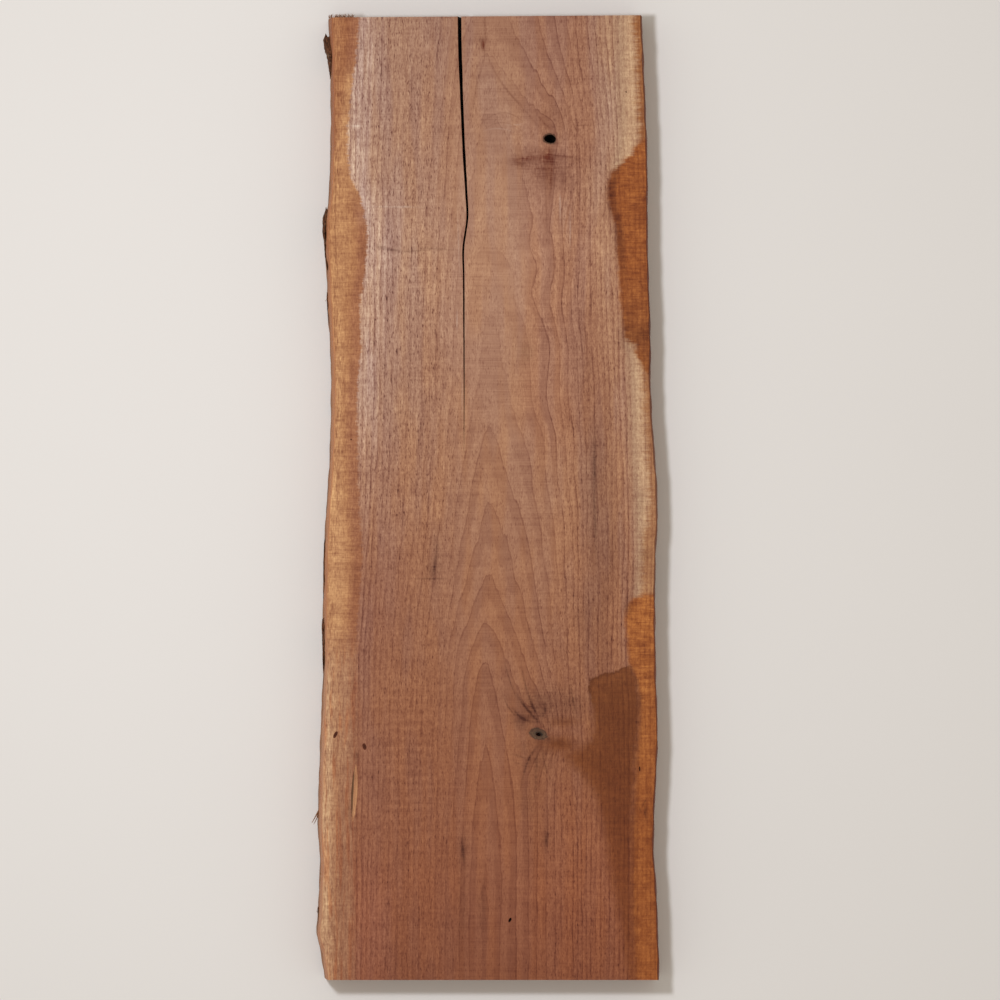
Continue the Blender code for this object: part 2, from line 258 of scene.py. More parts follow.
# Strands of bast on the left edge: (along, depth, length, width, out, up the trunk, curl)
STRANDS = [
    (186, 20, 17, 1.7, -0.42, -0.88, -3), (182, 21, 14, 1.4, -0.34, -0.92, -4),
    (188, 24, 12, 1.2, -0.25, -0.96, -1.5), (69, 22, 6, 0.9, -0.5, 0.85, 0.5),
    (112, 20, 5, 0.5, -0.45, 0.85, 0.3), (744, 24, 6, 0.7, -0.5, -0.8, 1),
]
FIBRE_ALONG, FIBRE_ROUND = 6, 4

AIM = (13.6, -2.7)  # the place on the show face at the middle of the photograph
SEEN_WIDTH = 1088.1  # how much of the show face's plane the photograph spans
KEY_PLACE = (-0.62, 0.34, 2.25)  # from the aim to the key light, in metres
KEY_COLOUR = (0.88, 0.93, 1)
FILL_COLOUR = (1, 0.94, 0.84, 1)
FLOOR_REACH, FLOOR_GAP = 20000, 0.2  # how far the floor reaches, and how far below the slab it lies


def srgb(red, green, blue):
    """A colour given as 0 to 255 on a screen, as the linear share that shaders take."""
    share = np.array([red, green, blue]) / 255
    return tuple(np.where(share > 0.04045, ((share + 0.055) / 1.055) ** 2.4, share / 12.92).tolist())


def smooth_through(points, where):
    """The smooth curve through (place, value) points, read at the places in where. It is made of cubic
    pieces, and its slope at each point is the slope between that point's neighbours."""
    place, value = np.array(points, float).T
    slope = np.gradient(value, place)
    i = np.clip(np.searchsorted(place, where) - 1, 0, len(place) - 2)
    span = place[i + 1] - place[i]
    t = np.clip((where - place[i]) / span, 0.0, 1.0)
    from_start = (1 + 2 * t) * (1 - t) ** 2 * value[i] + t * (1 - t) ** 2 * span * slope[i]
    from_end = t * t * (3 - 2 * t) * value[i + 1] + t * t * (t - 1) * span * slope[i + 1]
    return from_start + from_end


def lattice_value(cell, seed):
    """A fixed random number from -1 to 1 for each cell of a lattice, by mixing the bits of its numbers."""
    mixed = np.full(cell.shape[:-1], seed, np.uint32)
    for k in range(cell.shape[-1]):
        mixed = (mixed ^ cell[..., k].astype(np.uint32)) * np.uint32(2654435761)
        mixed ^= mixed >> np.uint32(15)
    mixed = mixed * np.uint32(2246822519)
    mixed ^= mixed >> np.uint32(13)
    return mixed / 2.0**31 - 1


def soft_noise(seed, *places):
    """Smooth noise from -1 to 1. It is lattice_value at the whole numbers, blended between them with the
    weight 3t^2 - 2t^3. The places are one array for each coordinate."""
    place = np.stack(np.broadcast_arrays(*places), axis=-1).astype(float)
    cell = np.floor(place).astype(np.int64)
    share = place - cell
    share = share * share * (3 - 2 * share)
    total = np.zeros(place.shape[:-1])
    for corner in itertools.product((0, 1), repeat=len(places)):
        weight = np.prod(np.where(corner, share, 1 - share), axis=-1)
        total += weight * lattice_value(cell + np.array(corner), seed)
    return total


def bell(place, middle, width):
    """A hill of height 1: e to the minus square of the distance from its middle, in widths."""
    return np.exp(-(((place - middle) / width) ** 2))


def turned(x, along, middle_x, middle_along, turn):
    """The place relative to a middle, turned back by an angle in degrees."""
    c, s = math.cos(math.radians(turn)), math.sin(math.radians(turn))
    dx, dy = x - middle_x, along - middle_along
    return c * dx + s * dy, c * dy - s * dx


# The outline of the slab

def ripple(along, down, phase):
    """The sum of the small waves, each one shifted by its own multiple of the phase."""
    place = along + RIPPLE_SLANT * down
    total = np.zeros(np.broadcast(along, down).shape)
    for k, (length, height) in enumerate(RIPPLES):
        total += height * np.sin(2 * math.pi * place / length + (k + 1) * (phase + RIPPLE_TURN * down))
    return total


def fluting(along, down, seed):
    """Shallow lengthwise furrows of wood that grew under bark: noise that is long along the grain."""
    coarse = soft_noise(seed, along / 90.0, down * 7.0)
    fine = soft_noise(seed + 1, along / 40.0, down * 13.0)
    return 0.22 * coarse + 0.12 * fine


def edge_out(edge, section, phase, along, down):
    """How far out a live edge lies: its outline, less its section's set-back, with waves and furrows, and
    never more than the half width."""
    out = smooth_through(edge, along) - smooth_through(section, down) + ripple(along, down, phase)
    return np.minimum(out + fluting(along, down, int(10 * phase)), HALF_WIDTH)


def left_out(along, down):
    """How far the left live edge lies out from the middle line."""
    return edge_out(LEFT_EDGE, LEFT_SECTION, LEFT_PHASE, along, down)


def right_out(along, down):
    """How far the right live edge lies out from the middle line."""
    return edge_out(RIGHT_EDGE, RIGHT_SECTION, RIGHT_PHASE, along, down)


def top_end(x):
    """Where the cut of the top end lies at each x: a straight line that falls to the left."""
    return LENGTH - TOP_END_FALL * (HALF_WIDTH - x) / (2 * HALF_WIDTH)


def crack_line(along):
    """The middle of the crack and its width at each place along."""
    points = sorted(CRACK)
    middle = smooth_through([(place, x) for place, x, _ in points], along)
    width = np.interp(along, [point[0] for point in points], [point[2] for point in points])
    ragged = 1 + 0.07 * soft_noise(71, along / 19.0) + 0.04 * soft_noise(72, along / 6.0)
    return middle + 0.12 * soft_noise(73, along / 24.0), width * ragged


def face_relief(x, along, seed):
    """How far a sawn face stands up: slow unevenness, and ripples across it that the saw left."""
    slow = 0.10 * soft_noise(seed, x / 55.0, along / 80.0)
    patch = np.clip(0.5 + soft_noise(seed + 1, x / 60.0, along / 110.0), 0, 1)
    rows = 0.05 * soft_noise(seed + 2, x / 90.0, along / 5.4)
    waves = 0.05 * np.sin(2 * math.pi * along / CHATTER + x / 30) * bell(x, -90, 55) * bell(along, 200, 160)
    return slow + patch * rows + waves


# The wood

def pith(along):
    """Where the trunk's middle line lies: its x, and its depth below the show face."""
    return smooth_through(PITH_LINE, along), smooth_through(PITH_DEPTH, along)


def branch_middle(x, along, depth, pith_x, pith_depth):
    """A branch runs from its place on the show face straight to the trunk's middle line. This gives its
    middle at a depth, and the share of its way that is left there, 0 past the middle line."""
    left = np.clip(1 - depth / pith_depth, 0, 1)
    return pith_x + (x - pith_x) * left, along - BRANCH_FALL * depth, left


def grain_wave(x, along):
    """A sine wave along the grain, faded out round its middle by a bell each way."""
    middle_x, middle_along, half_width, half_length, height, length = GRAIN_WAVE
    window = bell(x, middle_x, half_width) * bell(along, middle_along, half_length)
    wander = 2.5 * soft_noise(31, along / 120.0, x / 40.0)
    return height * window * np.sin(2 * math.pi * along / length + wander)


def ring_radius(x, along, depth):
    """The distance from the trunk's middle line, with x stretched as RING_SPREAD says. Over the middle it
    is drawn to the rings in RING_TIPS, and each branch lowers it by a bell, so that the rings bend
    outwards."""
    pith_x, pith_depth = pith(along)
    across = smooth_through(RING_SPREAD, x - pith_x)
    radius = np.hypot(across, pith_depth - depth)
    radius += (smooth_through(RING_TIPS, along) * RING_WIDTH - pith_depth) * bell(across, 0, TIP_REACH)
    for branch_x, branch_along, dip, half_width, above, below in BRANCHES:
        middle_x, middle_along, left = branch_middle(branch_x, branch_along, depth, pith_x, pith_depth)
        rise = along - middle_along
        reach = np.where(rise > 0, above, below)
        radius -= dip * np.minimum(3 * left, 1) * bell(x, middle_x, half_width) * bell(rise, 0, reach)
    return radius + grain_wave(x, along)


def ring_steepness(x, along, depth):
    """How many rings a millimetre of the face crosses: the slope of ring_radius, from its values half a
    millimetre to each side, each way along the face."""
    across = ring_radius(x + 0.5, along, depth) - ring_radius(x - 0.5, along, depth)
    rise = ring_radius(x, along + 0.5, depth) - ring_radius(x, along - 0.5, depth)
    return np.hypot(across, rise) / RING_WIDTH


def fibre_place(x, along, depth):
    """A place in the wood's own directions: lines of equal first and third number run along the fibres,
    which part round the branches and dip as the trunk's middle line does."""
    pith_x, pith_depth = pith(along)
    side = x + grain_wave(x, along)
    for branch_x, branch_along, dip, half_width, above, below in BRANCHES:
        middle_x, middle_along, left = branch_middle(branch_x, branch_along, depth, pith_x, pith_depth)
        rise = along - middle_along
        reach = np.where(rise > 0, above, below)
        parted = (x - middle_x) / half_width * bell(x, middle_x, half_width) * bell(rise, 0, reach)
        side -= 0.7 * dip * np.minimum(3 * left, 1) * parted
    return np.stack([side, along, pith_depth - depth], axis=-1)


def face_x(x, along, depth):
    """The x at which the show face cuts the same ring on the same side, as stains follow the rings."""
    pith_x, pith_depth = pith(along)
    square = (x - pith_x) ** 2 + (pith_depth - depth) ** 2 - pith_depth**2
    return pith_x + np.sign(x - pith_x) * np.sqrt(np.maximum(square, 0))


def sap_distance(x, along, depth):
    """How far outside the heartwood a place lies: its ring radius less that of the heart's border."""
    radius = ring_radius(x, along, depth)
    flat = np.zeros_like(depth)
    left = radius - ring_radius(smooth_through(LEFT_HEART, along), along, flat)
    right = radius - ring_radius(smooth_through(RIGHT_HEART, along), along, flat)
    return np.where(x < 0, left, right)


def outline_distance(corners, x, along):
    """The distance to a closed outline, above 0 inside it. It is the least distance to any of its sides,
    and a place is inside if a level line from it crosses the outline an odd number of times."""
    near = np.full(x.shape, np.inf)
    inside = np.zeros(x.shape, bool)
    for (a_along, a_x), (b_along, b_x) in zip(corners, corners[1:] + corners[:1]):
        side = np.array([b_x - a_x, b_along - a_along])
        t = np.clip(((x - a_x) * side[0] + (along - a_along) * side[1]) / (side @ side), 0, 1)
        near = np.minimum(near, np.hypot(x - a_x - t * side[0], along - a_along - t * side[1]))
        if a_along != b_along:
            crossed = (along >= min(a_along, b_along)) & (along < max(a_along, b_along))
            cut = a_x + (along - a_along) * side[0] / side[1]
            inside ^= crossed & (cut > x)
    return np.where(inside, near, -near)


def orange_distance(x, along, depth):
    """The distance into the parts of the right sapwood that damp turned orange."""
    place = face_x(x, along, depth)
    upper = outline_distance(ORANGE_UPPER, place, along)
    return np.maximum(upper, outline_distance(ORANGE_LOWER, place, along))


def stain_distance(x, along, depth):
    """The stain's outline and its tongues. It draws in by a third of the depth."""
    place = face_x(x, along, depth)
    distance = outline_distance(STAIN, place, along)
    for tongue_x, tongue_along, half_width, half_length in STAIN_TONGUES:
        size = np.hypot((place - tongue_x) / half_width, (along - tongue_along) / half_length)
        distance = np.maximum(distance, (1 - size) * half_length)
    return distance - depth / 3


def smudge_amount(x, along, depth):
    """The sum of all smudges, each a bell both ways. They fade with the depth by a bell too."""
    total = np.zeros(x.shape)
    for middle_x, middle_along, half_width, half_length, amount in SMUDGES:
        total += amount * bell(x, middle_x, half_width) * bell(along, middle_along, half_length)
    return total * bell(depth, 0, SMUDGE_DEPTH)


def knot_size(x, along, depth):
    """How far a place lies from the nearest branch's middle, in its half sizes: 1 on the knot's rim."""
    pith_x, pith_depth = pith(along)
    size = np.full(x.shape, 9.0)
    for knot_x, knot_along, half_width, half_length, turn in KNOTS:
        middle_x, middle_along, left = branch_middle(knot_x, knot_along, depth, pith_x, pith_depth)
        across, rise = turned(x, along, middle_x, middle_along, turn)
        shrunk = np.maximum(left, 0.05) ** 0.4
        size = np.minimum(size, np.hypot(across / half_width, rise / half_length) / shrunk)
    return size


def rim_distance(x, along, depth):
    """How far inside the nearer live edge a place lies."""
    down = np.clip(depth / THICKNESS, 0, 1)
    return np.minimum(left_out(along, down) + x, right_out(along, down) - x)


def wood_attributes(points):
    """Everything the materials read from a slab's points, as whole arrays, in millimetres or in rings."""
    x, y, z = points.T
    place = (x, y - FOOT, THICKNESS - z)
    return {
        "ring": ring_radius(*place) / RING_WIDTH,
        "steep": ring_steepness(*place),
        "fibre": fibre_place(*place),
        "sap": sap_distance(*place),
        "orange": orange_distance(*place),
        "stain": stain_distance(*place),
        "smudge": smudge_amount(*place),
        "knot": knot_size(*place),
        "rim": rim_distance(*place),
    }


# Meshes

class Shell:
    """Gathers the points and faces of one mesh as whole arrays."""

    def __init__(self):
        self.points = []
        self.count = 0
        self.faces = []

    def add_points(self, points):
        """Adds points and gives back their numbers, laid out as the points are."""
        points = np.asarray(points, float)
        shape = points.shape[:-1]
        numbers = self.count + np.arange(math.prod(shape)).reshape(shape)
        self.points.append(points.reshape(-1, 3))
        self.count += numbers.size
        return numbers

    def add_faces(self, corners, kind=0):
        """Adds faces of one kind, each given by the numbers of its points."""
        self.faces.append((corners.reshape(-1, corners.shape[-1]), kind))

    def add_grid(self, numbers, kind=0, keep=None):
        """Adds the faces between neighbours of points that are laid out in rows and columns."""
        corners = [numbers[:-1, :-1], numbers[:-1, 1:], numbers[1:, 1:], numbers[1:, :-1]]
        quads = np.stack(corners, axis=-1)
        self.add_faces(quads if keep is None else quads[keep], kind)

    def add_fan(self, loop, pole, kind=0):
        """Closes a loop of points with triangles to one point."""
        poles = np.full(len(loop), pole)
        self.add_faces(np.stack([loop, np.roll(loop, -1), poles], axis=-1), kind)

    def build(self, name, materials, attributes=None):
        """Makes the object: drops points that no face uses, turns all faces outwards, and stores each
        attribute on the points."""
        points = np.concatenate(self.points)
        used = np.zeros(len(points), bool)
        for corners, _ in self.faces:
            used[corners] = True
        renumbered = np.cumsum(used) - 1
        points = points[used]
        faces, kinds = [], []
        for corners, kind in self.faces:
            faces += renumbered[corners].tolist()
            kinds += [kind] * len(corners)
        mesh = bpy.data.meshes.new(name)
        mesh.from_pydata(points * MM, [], faces)
        mesh.polygons.foreach_set("material_index", kinds)
        bm = bmesh.new()
        bm.from_mesh(mesh)
        bmesh.ops.recalc_face_normals(bm, faces=bm.faces)
        bm.to_mesh(mesh)
        bm.free()
        mesh.shade_smooth()
        mesh.set_sharp_from_angle(angle=SHARP_ANGLE)
        for label, values in (attributes(points) if attributes else {}).items():
            kind, key = ("FLOAT_VECTOR", "vector") if values.ndim == 2 else ("FLOAT", "value")
            stored = mesh.attributes.new(label, kind, "POINT")
            stored.data.foreach_set(key, values.astype(np.float32).ravel())
        for material in materials:
            mesh.materials.append(material)
        obj = bpy.data.objects.new(name, mesh)
        bpy.context.scene.collection.objects.link(obj)
        return obj


def attach(obj):
    """Every piece is fixed to the slab's one body."""
    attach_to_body(obj, "root")
    return obj


def column_shares(count, width):
    """Shares from 0 at an arris to 1 at the crack line: one narrow column, then equal ones."""
    return np.concatenate([[0.0], np.linspace(NARROW / width, 1.0, count)])


def edge_profile(rounding):
    """The way over a live edge from face to face: (down, distance in). Its corners are quarter rounds."""
    turn = np.radians([0, 30, 60, 90])
    corner_down = rounding * (1 - np.sin(turn)[::-1]) / THICKNESS
    corner_in = rounding * (1 - np.cos(turn)[::-1])
    middle = np.linspace(rounding / THICKNESS, 1 - rounding / THICKNESS, EDGE_STEPS - 5)[1:-1]
    down = np.concatenate([corner_down, middle, 1 - corner_down[::-1]])
    inward = np.concatenate([corner_in, np.zeros(len(middle)), corner_in[::-1]])
    return down, inward


def slab_y(x, along):
    """Each place's y. The rows are spread so that the last one lies on the slanting cut."""
    return along * top_end(x) / LENGTH + FOOT


def face_half(rows, arris, seam, columns, depth, seed):
    """Points of half a face, rows by columns, from the arris to the crack line."""
    shares = column_shares(columns, abs(arris - seam).mean())
    x = arris[:, None] + (seam - arris)[:, None] * shares
    along = np.broadcast_to(rows[:, None], x.shape)
    relief = face_relief(x, along, seed) * np.clip((x - arris[:, None]) ** 2 / 9, 0, 1)
    z = THICKNESS - depth + (relief if depth == 0 else -relief)
    return np.stack([x, slab_y(x, along), z], axis=-1)


def edge_strip(shell, rows, out, side, profile, front, back):
    """The points over a live edge: out at each row and each step down, less the profile's inward part.
    Its first and last columns are the arrises that the faces already have."""
    down, inward = profile
    x = side * (out(rows[:, None], down[None, :]) - inward)
    along = np.broadcast_to(rows[:, None], x.shape)
    z = np.broadcast_to(THICKNESS * (1 - down), x.shape)
    inner = shell.add_points(np.stack([x, slab_y(x, along), z], axis=-1)[:, 1:-1])
    numbers = np.column_stack([front, inner, back])
    shell.add_grid(numbers, KINDS.index("live"))
    return numbers


def crack_wall(points, rows, front, back):
    """One wall of the crack: straight lines from its lip on the show face to its lip on the back, moved
    sideways by noise that both walls share."""
    shares = np.linspace(0, 1, EDGE_STEPS + 1)[1:-1]
    start, end = points[front][:, None], points[back][:, None]
    inner = start + (end - start) * shares[:, None]
    ragged = 0.9 * soft_noise(74, rows[:, None] / 16.0, shares * 5.0)
    ragged += 0.3 * soft_noise(75, rows[:, None] / 5.0, shares * 11.0)
    inner[..., 0] += ragged * np.sin(math.pi * shares)
    return inner


def cap(shell, points, front, back, left, right, kind):
    """Closes an end of the slab. The inner points blend those of the four sides, and the last strip
    joins two points of the front's spacing to one of the back's."""
    steps, columns = len(left) - 1, len(front) - 1
    s = np.linspace(0, 1, steps + 1)[1:-1, None, None]
    t = np.linspace(0, 1, columns + 1)[None, 1:-1, None]
    back_points = np.stack([np.interp(np.arange(columns + 1), np.arange(0, columns + 1, 2), axis)
                            for axis in points[back].T], axis=-1)
    corner = points[[front[0], front[-1], back[0], back[-1]]]
    inner = (1 - s) * points[front][None, 1:-1] + s * back_points[None, 1:-1]
    inner += (1 - t) * points[left][1:-1, None] + t * points[right][1:-1, None]
    inner -= (1 - s) * ((1 - t) * corner[0] + t * corner[1]) + s * ((1 - t) * corner[2] + t * corner[3])
    numbers = shell.add_points(inner)
    grid = np.vstack([front, np.column_stack([left[1:-1], numbers, right[1:-1]])])
    shell.add_grid(grid, kind)
    low, even = grid[-1], np.arange(0, columns, 2)
    shell.add_faces(np.stack([low[even], low[even + 1], back[:-1]], axis=-1), kind)
    shell.add_faces(np.stack([low[even + 1], low[even + 2], back[1:]], axis=-1), kind)
    shell.add_faces(np.stack([low[even + 1], back[1:], back[:-1]], axis=-1), kind)


def sink_hole(shell, points, numbers, keep, hole, seed):
    """Replaces the faces round a hole with rings: from the border of the faces taken out, over the
    hole's lip, an uneven ellipse, and down its walls, which narrow as the profile says, to one point.
    A torn groove's ellipse is drawn in to a point at both ends."""
    x, along, half_width, half_length, depth, turn, lean, kind = hole
    place = points[numbers]
    if kind == "torn":
        reach_x, reach_y = 1.3 * half_width + 2.2, 1.05 * half_length + 2.2
    else:
        reach_x = reach_y = 1.45 * max(half_width, half_length) + 2
    rows = np.flatnonzero(abs(place[:, 0, 1] - FOOT - along) < reach_y)
    columns = np.flatnonzero(abs(place[rows[len(rows) // 2], :, 0] - x) < reach_x)
    top, bottom, first, last = rows[-1], rows[0], columns[0], columns[-1]
    if not keep[bottom:top, first:last].all():
        raise RuntimeError("two holes share the same faces of the slab")
    keep[bottom:top, first:last] = False
    border = np.concatenate([
        numbers[bottom, first:last], numbers[bottom:top, last],
        numbers[top, last:first:-1], numbers[top:bottom:-1, first],
    ])
    edge = points[border]
    angle = np.unwrap(np.arctan2((edge[:, 1] - FOOT - along) / reach_y, (edge[:, 0] - x) / reach_x))
    c, s = math.cos(math.radians(turn)), math.sin(math.radians(turn))
    uneven = 1 + 0.07 * soft_noise(seed, np.cos(angle) * 1.7, np.sin(angle) * 1.7)
    ring_x, ring_y = half_width * uneven * np.cos(angle), half_length * uneven * np.sin(angle)
    if kind == "torn":
        ring_x = ring_x * abs(np.cos(angle))
    lip = np.stack([x + c * ring_x - s * ring_y, FOOT + along + s * ring_x + c * ring_y,
                    edge[:, 2]], axis=-1)
    rings = [border, shell.add_points((edge + lip) / 2)]
    for sunk, size in GROOVE_PROFILE if kind == "torn" else HOLE_PROFILE:
        ring = lip.copy()
        ring[:, :2] = (lip[:, :2] - [x, FOOT + along]) * size + [x + lean * sunk, FOOT + along]
        rough = 1 + 0.05 * soft_noise(seed + 1, np.cos(angle) * 3, np.sin(angle) * 3, sunk * 6)
        ring[:, 2] -= depth * sunk * rough
        rings.append(shell.add_points(ring))
    pole = shell.add_points([[x + lean, FOOT + along, THICKNESS - depth * 1.02]])[0]
    loops = np.stack([np.append(ring, ring[0]) for ring in rings])
    shell.add_grid(loops[:3], KINDS.index("sawn"))
    shell.add_grid(loops[2:], KINDS.index(kind))
    shell.add_fan(rings[-1], pole, KINDS.index(kind))


def slab_shell(settings):
    """The whole slab: two faces in two halves each, split by the crack above its end, the live edges, the
    crack's walls, the holes and the ends."""
    shell = Shell()
    rows = np.linspace(0, LENGTH, ROWS + 1)
    tip = int(np.argmin(abs(rows - CRACK_END)))
    profile = edge_profile(settings.rounding / MM)
    middle, width = crack_line(rows)
    width = np.where(np.arange(ROWS + 1) > tip, np.maximum(width * settings.crack_width, CRACK_LEAST), 0)
    numbers = {}
    for face, down, inward in (("front", 0.0, profile[1][0]), ("back", 1.0, profile[1][-1])):
        seam = middle + CRACK_LEAN * down
        share = 1 if face == "front" else 2
        left = face_half(rows, inward - left_out(rows, down), seam - width / 2,
                         LEFT_COLUMNS // share, THICKNESS * down, 11 + share)
        right = face_half(rows, right_out(rows, down) - inward, seam + width / 2,
                          RIGHT_COLUMNS // share, THICKNESS * down, 11 + share)
        numbers[face, "left"] = shell.add_points(left)
        numbers[face, "right"] = shell.add_points(right[:, ::-1])
        numbers[face, "right"][: tip + 1, 0] = numbers[face, "left"][: tip + 1, -1]
    points = np.concatenate(shell.points)

    whole = {face: np.hstack([numbers[face, "left"], numbers[face, "right"][:, 1:]])
             for face in ("front", "back")}
    keep = {side: np.ones(np.array(numbers["front", side].shape) - 1, bool) for side in ("left", "right")}
    for number, hole in enumerate(HOLES.values()):
        side = "left" if hole[0] < np.interp(hole[1], rows, middle) else "right"
        sink_hole(shell, points, numbers["front", side], keep[side], hole, HOLE_SEED + 10 * number)
    sawn = KINDS.index("sawn")
    for side in ("left", "right"):
        shell.add_grid(numbers["front", side], sawn, keep[side])
        shell.add_grid(numbers["back", side], sawn)

    edges = {
        "left": edge_strip(shell, rows, left_out, -1, profile, whole["front"][:, 0], whole["back"][:, 0]),
        "right": edge_strip(shell, rows, right_out, 1, profile,
                            numbers["front", "right"][:, -1], numbers["back", "right"][:, -1]),
    }
    walls = {}
    for side, column in (("left", -1), ("right", 0)):
        front, back = (numbers[face, side][tip:, column] for face in ("front", "back"))
        inner = shell.add_points(crack_wall(points, rows[tip:], front, back))
        if side == "right":
            inner[0] = walls["left"][0, 1:-1]
        walls[side] = np.column_stack([front, inner, back])
        # The crack's walls take the holes' material, whose near-black below the lip is painted shade.
        shell.add_grid(walls[side], KINDS.index("hole"))
    points = np.concatenate(shell.points)

    end = KINDS.index("end")
    cap(shell, points, whole["front"][0], whole["back"][0], edges["left"][0], edges["right"][0], end)
    cap(shell, points, numbers["front", "left"][-1], numbers["back", "left"][-1],
        edges["left"][-1], walls["left"][-1], end)
    cap(shell, points, numbers["front", "right"][-1], numbers["back", "right"][-1],
        walls["right"][-1], edges["right"][-1], end)
    return shell


def bark_shell(scrap, seed):
    """A flake of bark as a tube round its own section, which grows and shrinks along it, with a rough
    skin and a torn outline, both of noise. Its foot lies in the wood, and a point closes each end."""
    start, end, thickness, depth, half_height = scrap
    shares = np.linspace(0, 1, BARK_ALONG)
    along = start + (end - start) * shares
    wood = -left_out(along, np.full(BARK_ALONG, depth / THICKNESS))
    thick = thickness * smooth_through(BARK_THICKNESS, shares)
    tall = half_height * smooth_through(BARK_HEIGHT, shares)
    foot = -BARK_BITE / thickness
    corners = np.array([(foot, -1), *reversed(BARK_SECTION), (foot, 1)])
    steps = np.linspace(0, len(corners), BARK_ROUND, endpoint=False)
    ring = np.stack([np.interp(steps, np.arange(len(corners) + 1), np.append(axis, axis[0]))
                     for axis in corners.T], axis=-1)
    out, up = ring[:, 0], ring[:, 1]
    side = np.sign(up)
    torn = soft_noise(seed + 3, along[:, None] / 7, side * 3)
    torn = torn + soft_noise(seed + 4, along[:, None] / 2.6, side * 3)
    ends = (2 * shares[:, None] - 1) ** 3 * 5.0 * soft_noise(seed + 5, up * half_height / 5.0)
    skin = 0.7 * soft_noise(seed, along[:, None] / 3.0, up * half_height / 2.2)
    skin = skin + 0.5 * soft_noise(seed + 1, along[:, None] / 1.3, up * half_height / 1.1)
    rough = np.clip(out, 0, 1) * skin * min(1.0, thickness / 4)
    x = wood[:, None] - out * thick[:, None] - rough
    z = THICKNESS - depth + up * tall[:, None] * (1 + 0.17 * torn) + 0.6 * rough
    y = along[:, None] + FOOT + ends + 1.2 * soft_noise(seed + 2, up * 5)
    shell = Shell()
    grid = shell.add_points(np.stack([x, y, z], axis=-1))
    shell.add_grid(np.column_stack([grid, grid[:, 0]]))
    for row, step in ((0, -0.6), (-1, 0.6)):
        middle = np.array([x[row].mean(), y[row].mean() + step, z[row].mean()])
        shell.add_fan(grid[row], shell.add_points(middle[None])[0])
    return shell


def fibre_shell(roots, leans, lengths, widths, curls):
    """Torn fibres as thin tubes: each runs from its root in the direction it leans, bends by its curl,
    and narrows to a point."""
    s = np.linspace(0, 1, FIBRE_ALONG)
    turn = 2 * math.pi * np.arange(FIBRE_ROUND) / FIBRE_ROUND
    line = roots[:, None] + s[:, None] * (leans * lengths[:, None])[:, None]
    line = line + (s**2)[:, None] * curls[:, None]
    radius = widths[:, None] / 2 * np.sqrt(1 - 0.9 * s)
    side = np.cross(leans, [0.31, 0.12, 0.94])
    side /= np.linalg.norm(side, axis=1)[:, None]
    up = np.cross(leans, side)
    offset = np.cos(turn)[:, None] * side[:, None] + np.sin(turn)[:, None] * up[:, None]
    tube = line[:, :, None] + radius[:, :, None, None] * offset[:, None]
    shell = Shell()
    numbers = shell.add_points(tube)
    closed = np.concatenate([numbers, numbers[:, :, :1]], axis=2)
    corners = [closed[:, :-1, :-1], closed[:, :-1, 1:], closed[:, 1:, 1:], closed[:, 1:, :-1]]
    shell.add_faces(np.stack(corners, axis=-1))
    for end in (0, -1):
        shell.add_faces(numbers[:, end])
    return shell


def end_fibres(settings):
    """Fibres that stand on the cracked end beside its left corner: random roots within 8 mm of the show
    face, more of them close to it, leaning mostly outwards along the trunk."""
    count = settings.end_count
    pick = [lattice_value(np.stack([np.arange(count), np.full(count, k)], axis=-1), FIBRE_SEED)
            for k in range(8)]
    x = np.interp(pick[0], [-1, 1], END_FIBRE_SPAN)
    z = THICKNESS - 1.0 - 7.0 * np.abs(pick[1]) ** 2
    roots = np.stack([x, top_end(x) + FOOT - 0.6, z], axis=-1)
    leans = np.stack([0.45 * pick[2], np.ones(count), 0.45 * pick[3]], axis=-1)
    leans /= np.linalg.norm(leans, axis=1)[:, None]
    lengths = settings.length / MM * (0.45 + 0.55 * np.abs(pick[4]))
    widths = settings.width / MM * (0.6 + 0.4 * np.abs(pick[5]))
    curls = np.stack([1.1 * pick[6], np.zeros(count), 0.8 * pick[7]], axis=-1)
    return fibre_shell(roots, leans, lengths, widths, curls)


def edge_strands(settings):
    """The few loose strands along the left edge, rooted just under its surface."""
    along, depth, length, width, out, up, curl = np.array(STRANDS).T
    roots = np.stack([0.8 - left_out(along, depth / THICKNESS), along + FOOT, THICKNESS - depth], axis=-1)
    leans = np.stack([out, up, np.full(len(along), 0.15)], axis=-1)
    leans /= np.linalg.norm(leans, axis=1)[:, None]
    curls = np.stack([-0.4 * np.abs(curl), 0.2 * curl, 0.3 * curl], axis=-1)
    return fibre_shell(roots, leans, length, width * settings.width / MM * 2, curls)


# Shader nodes

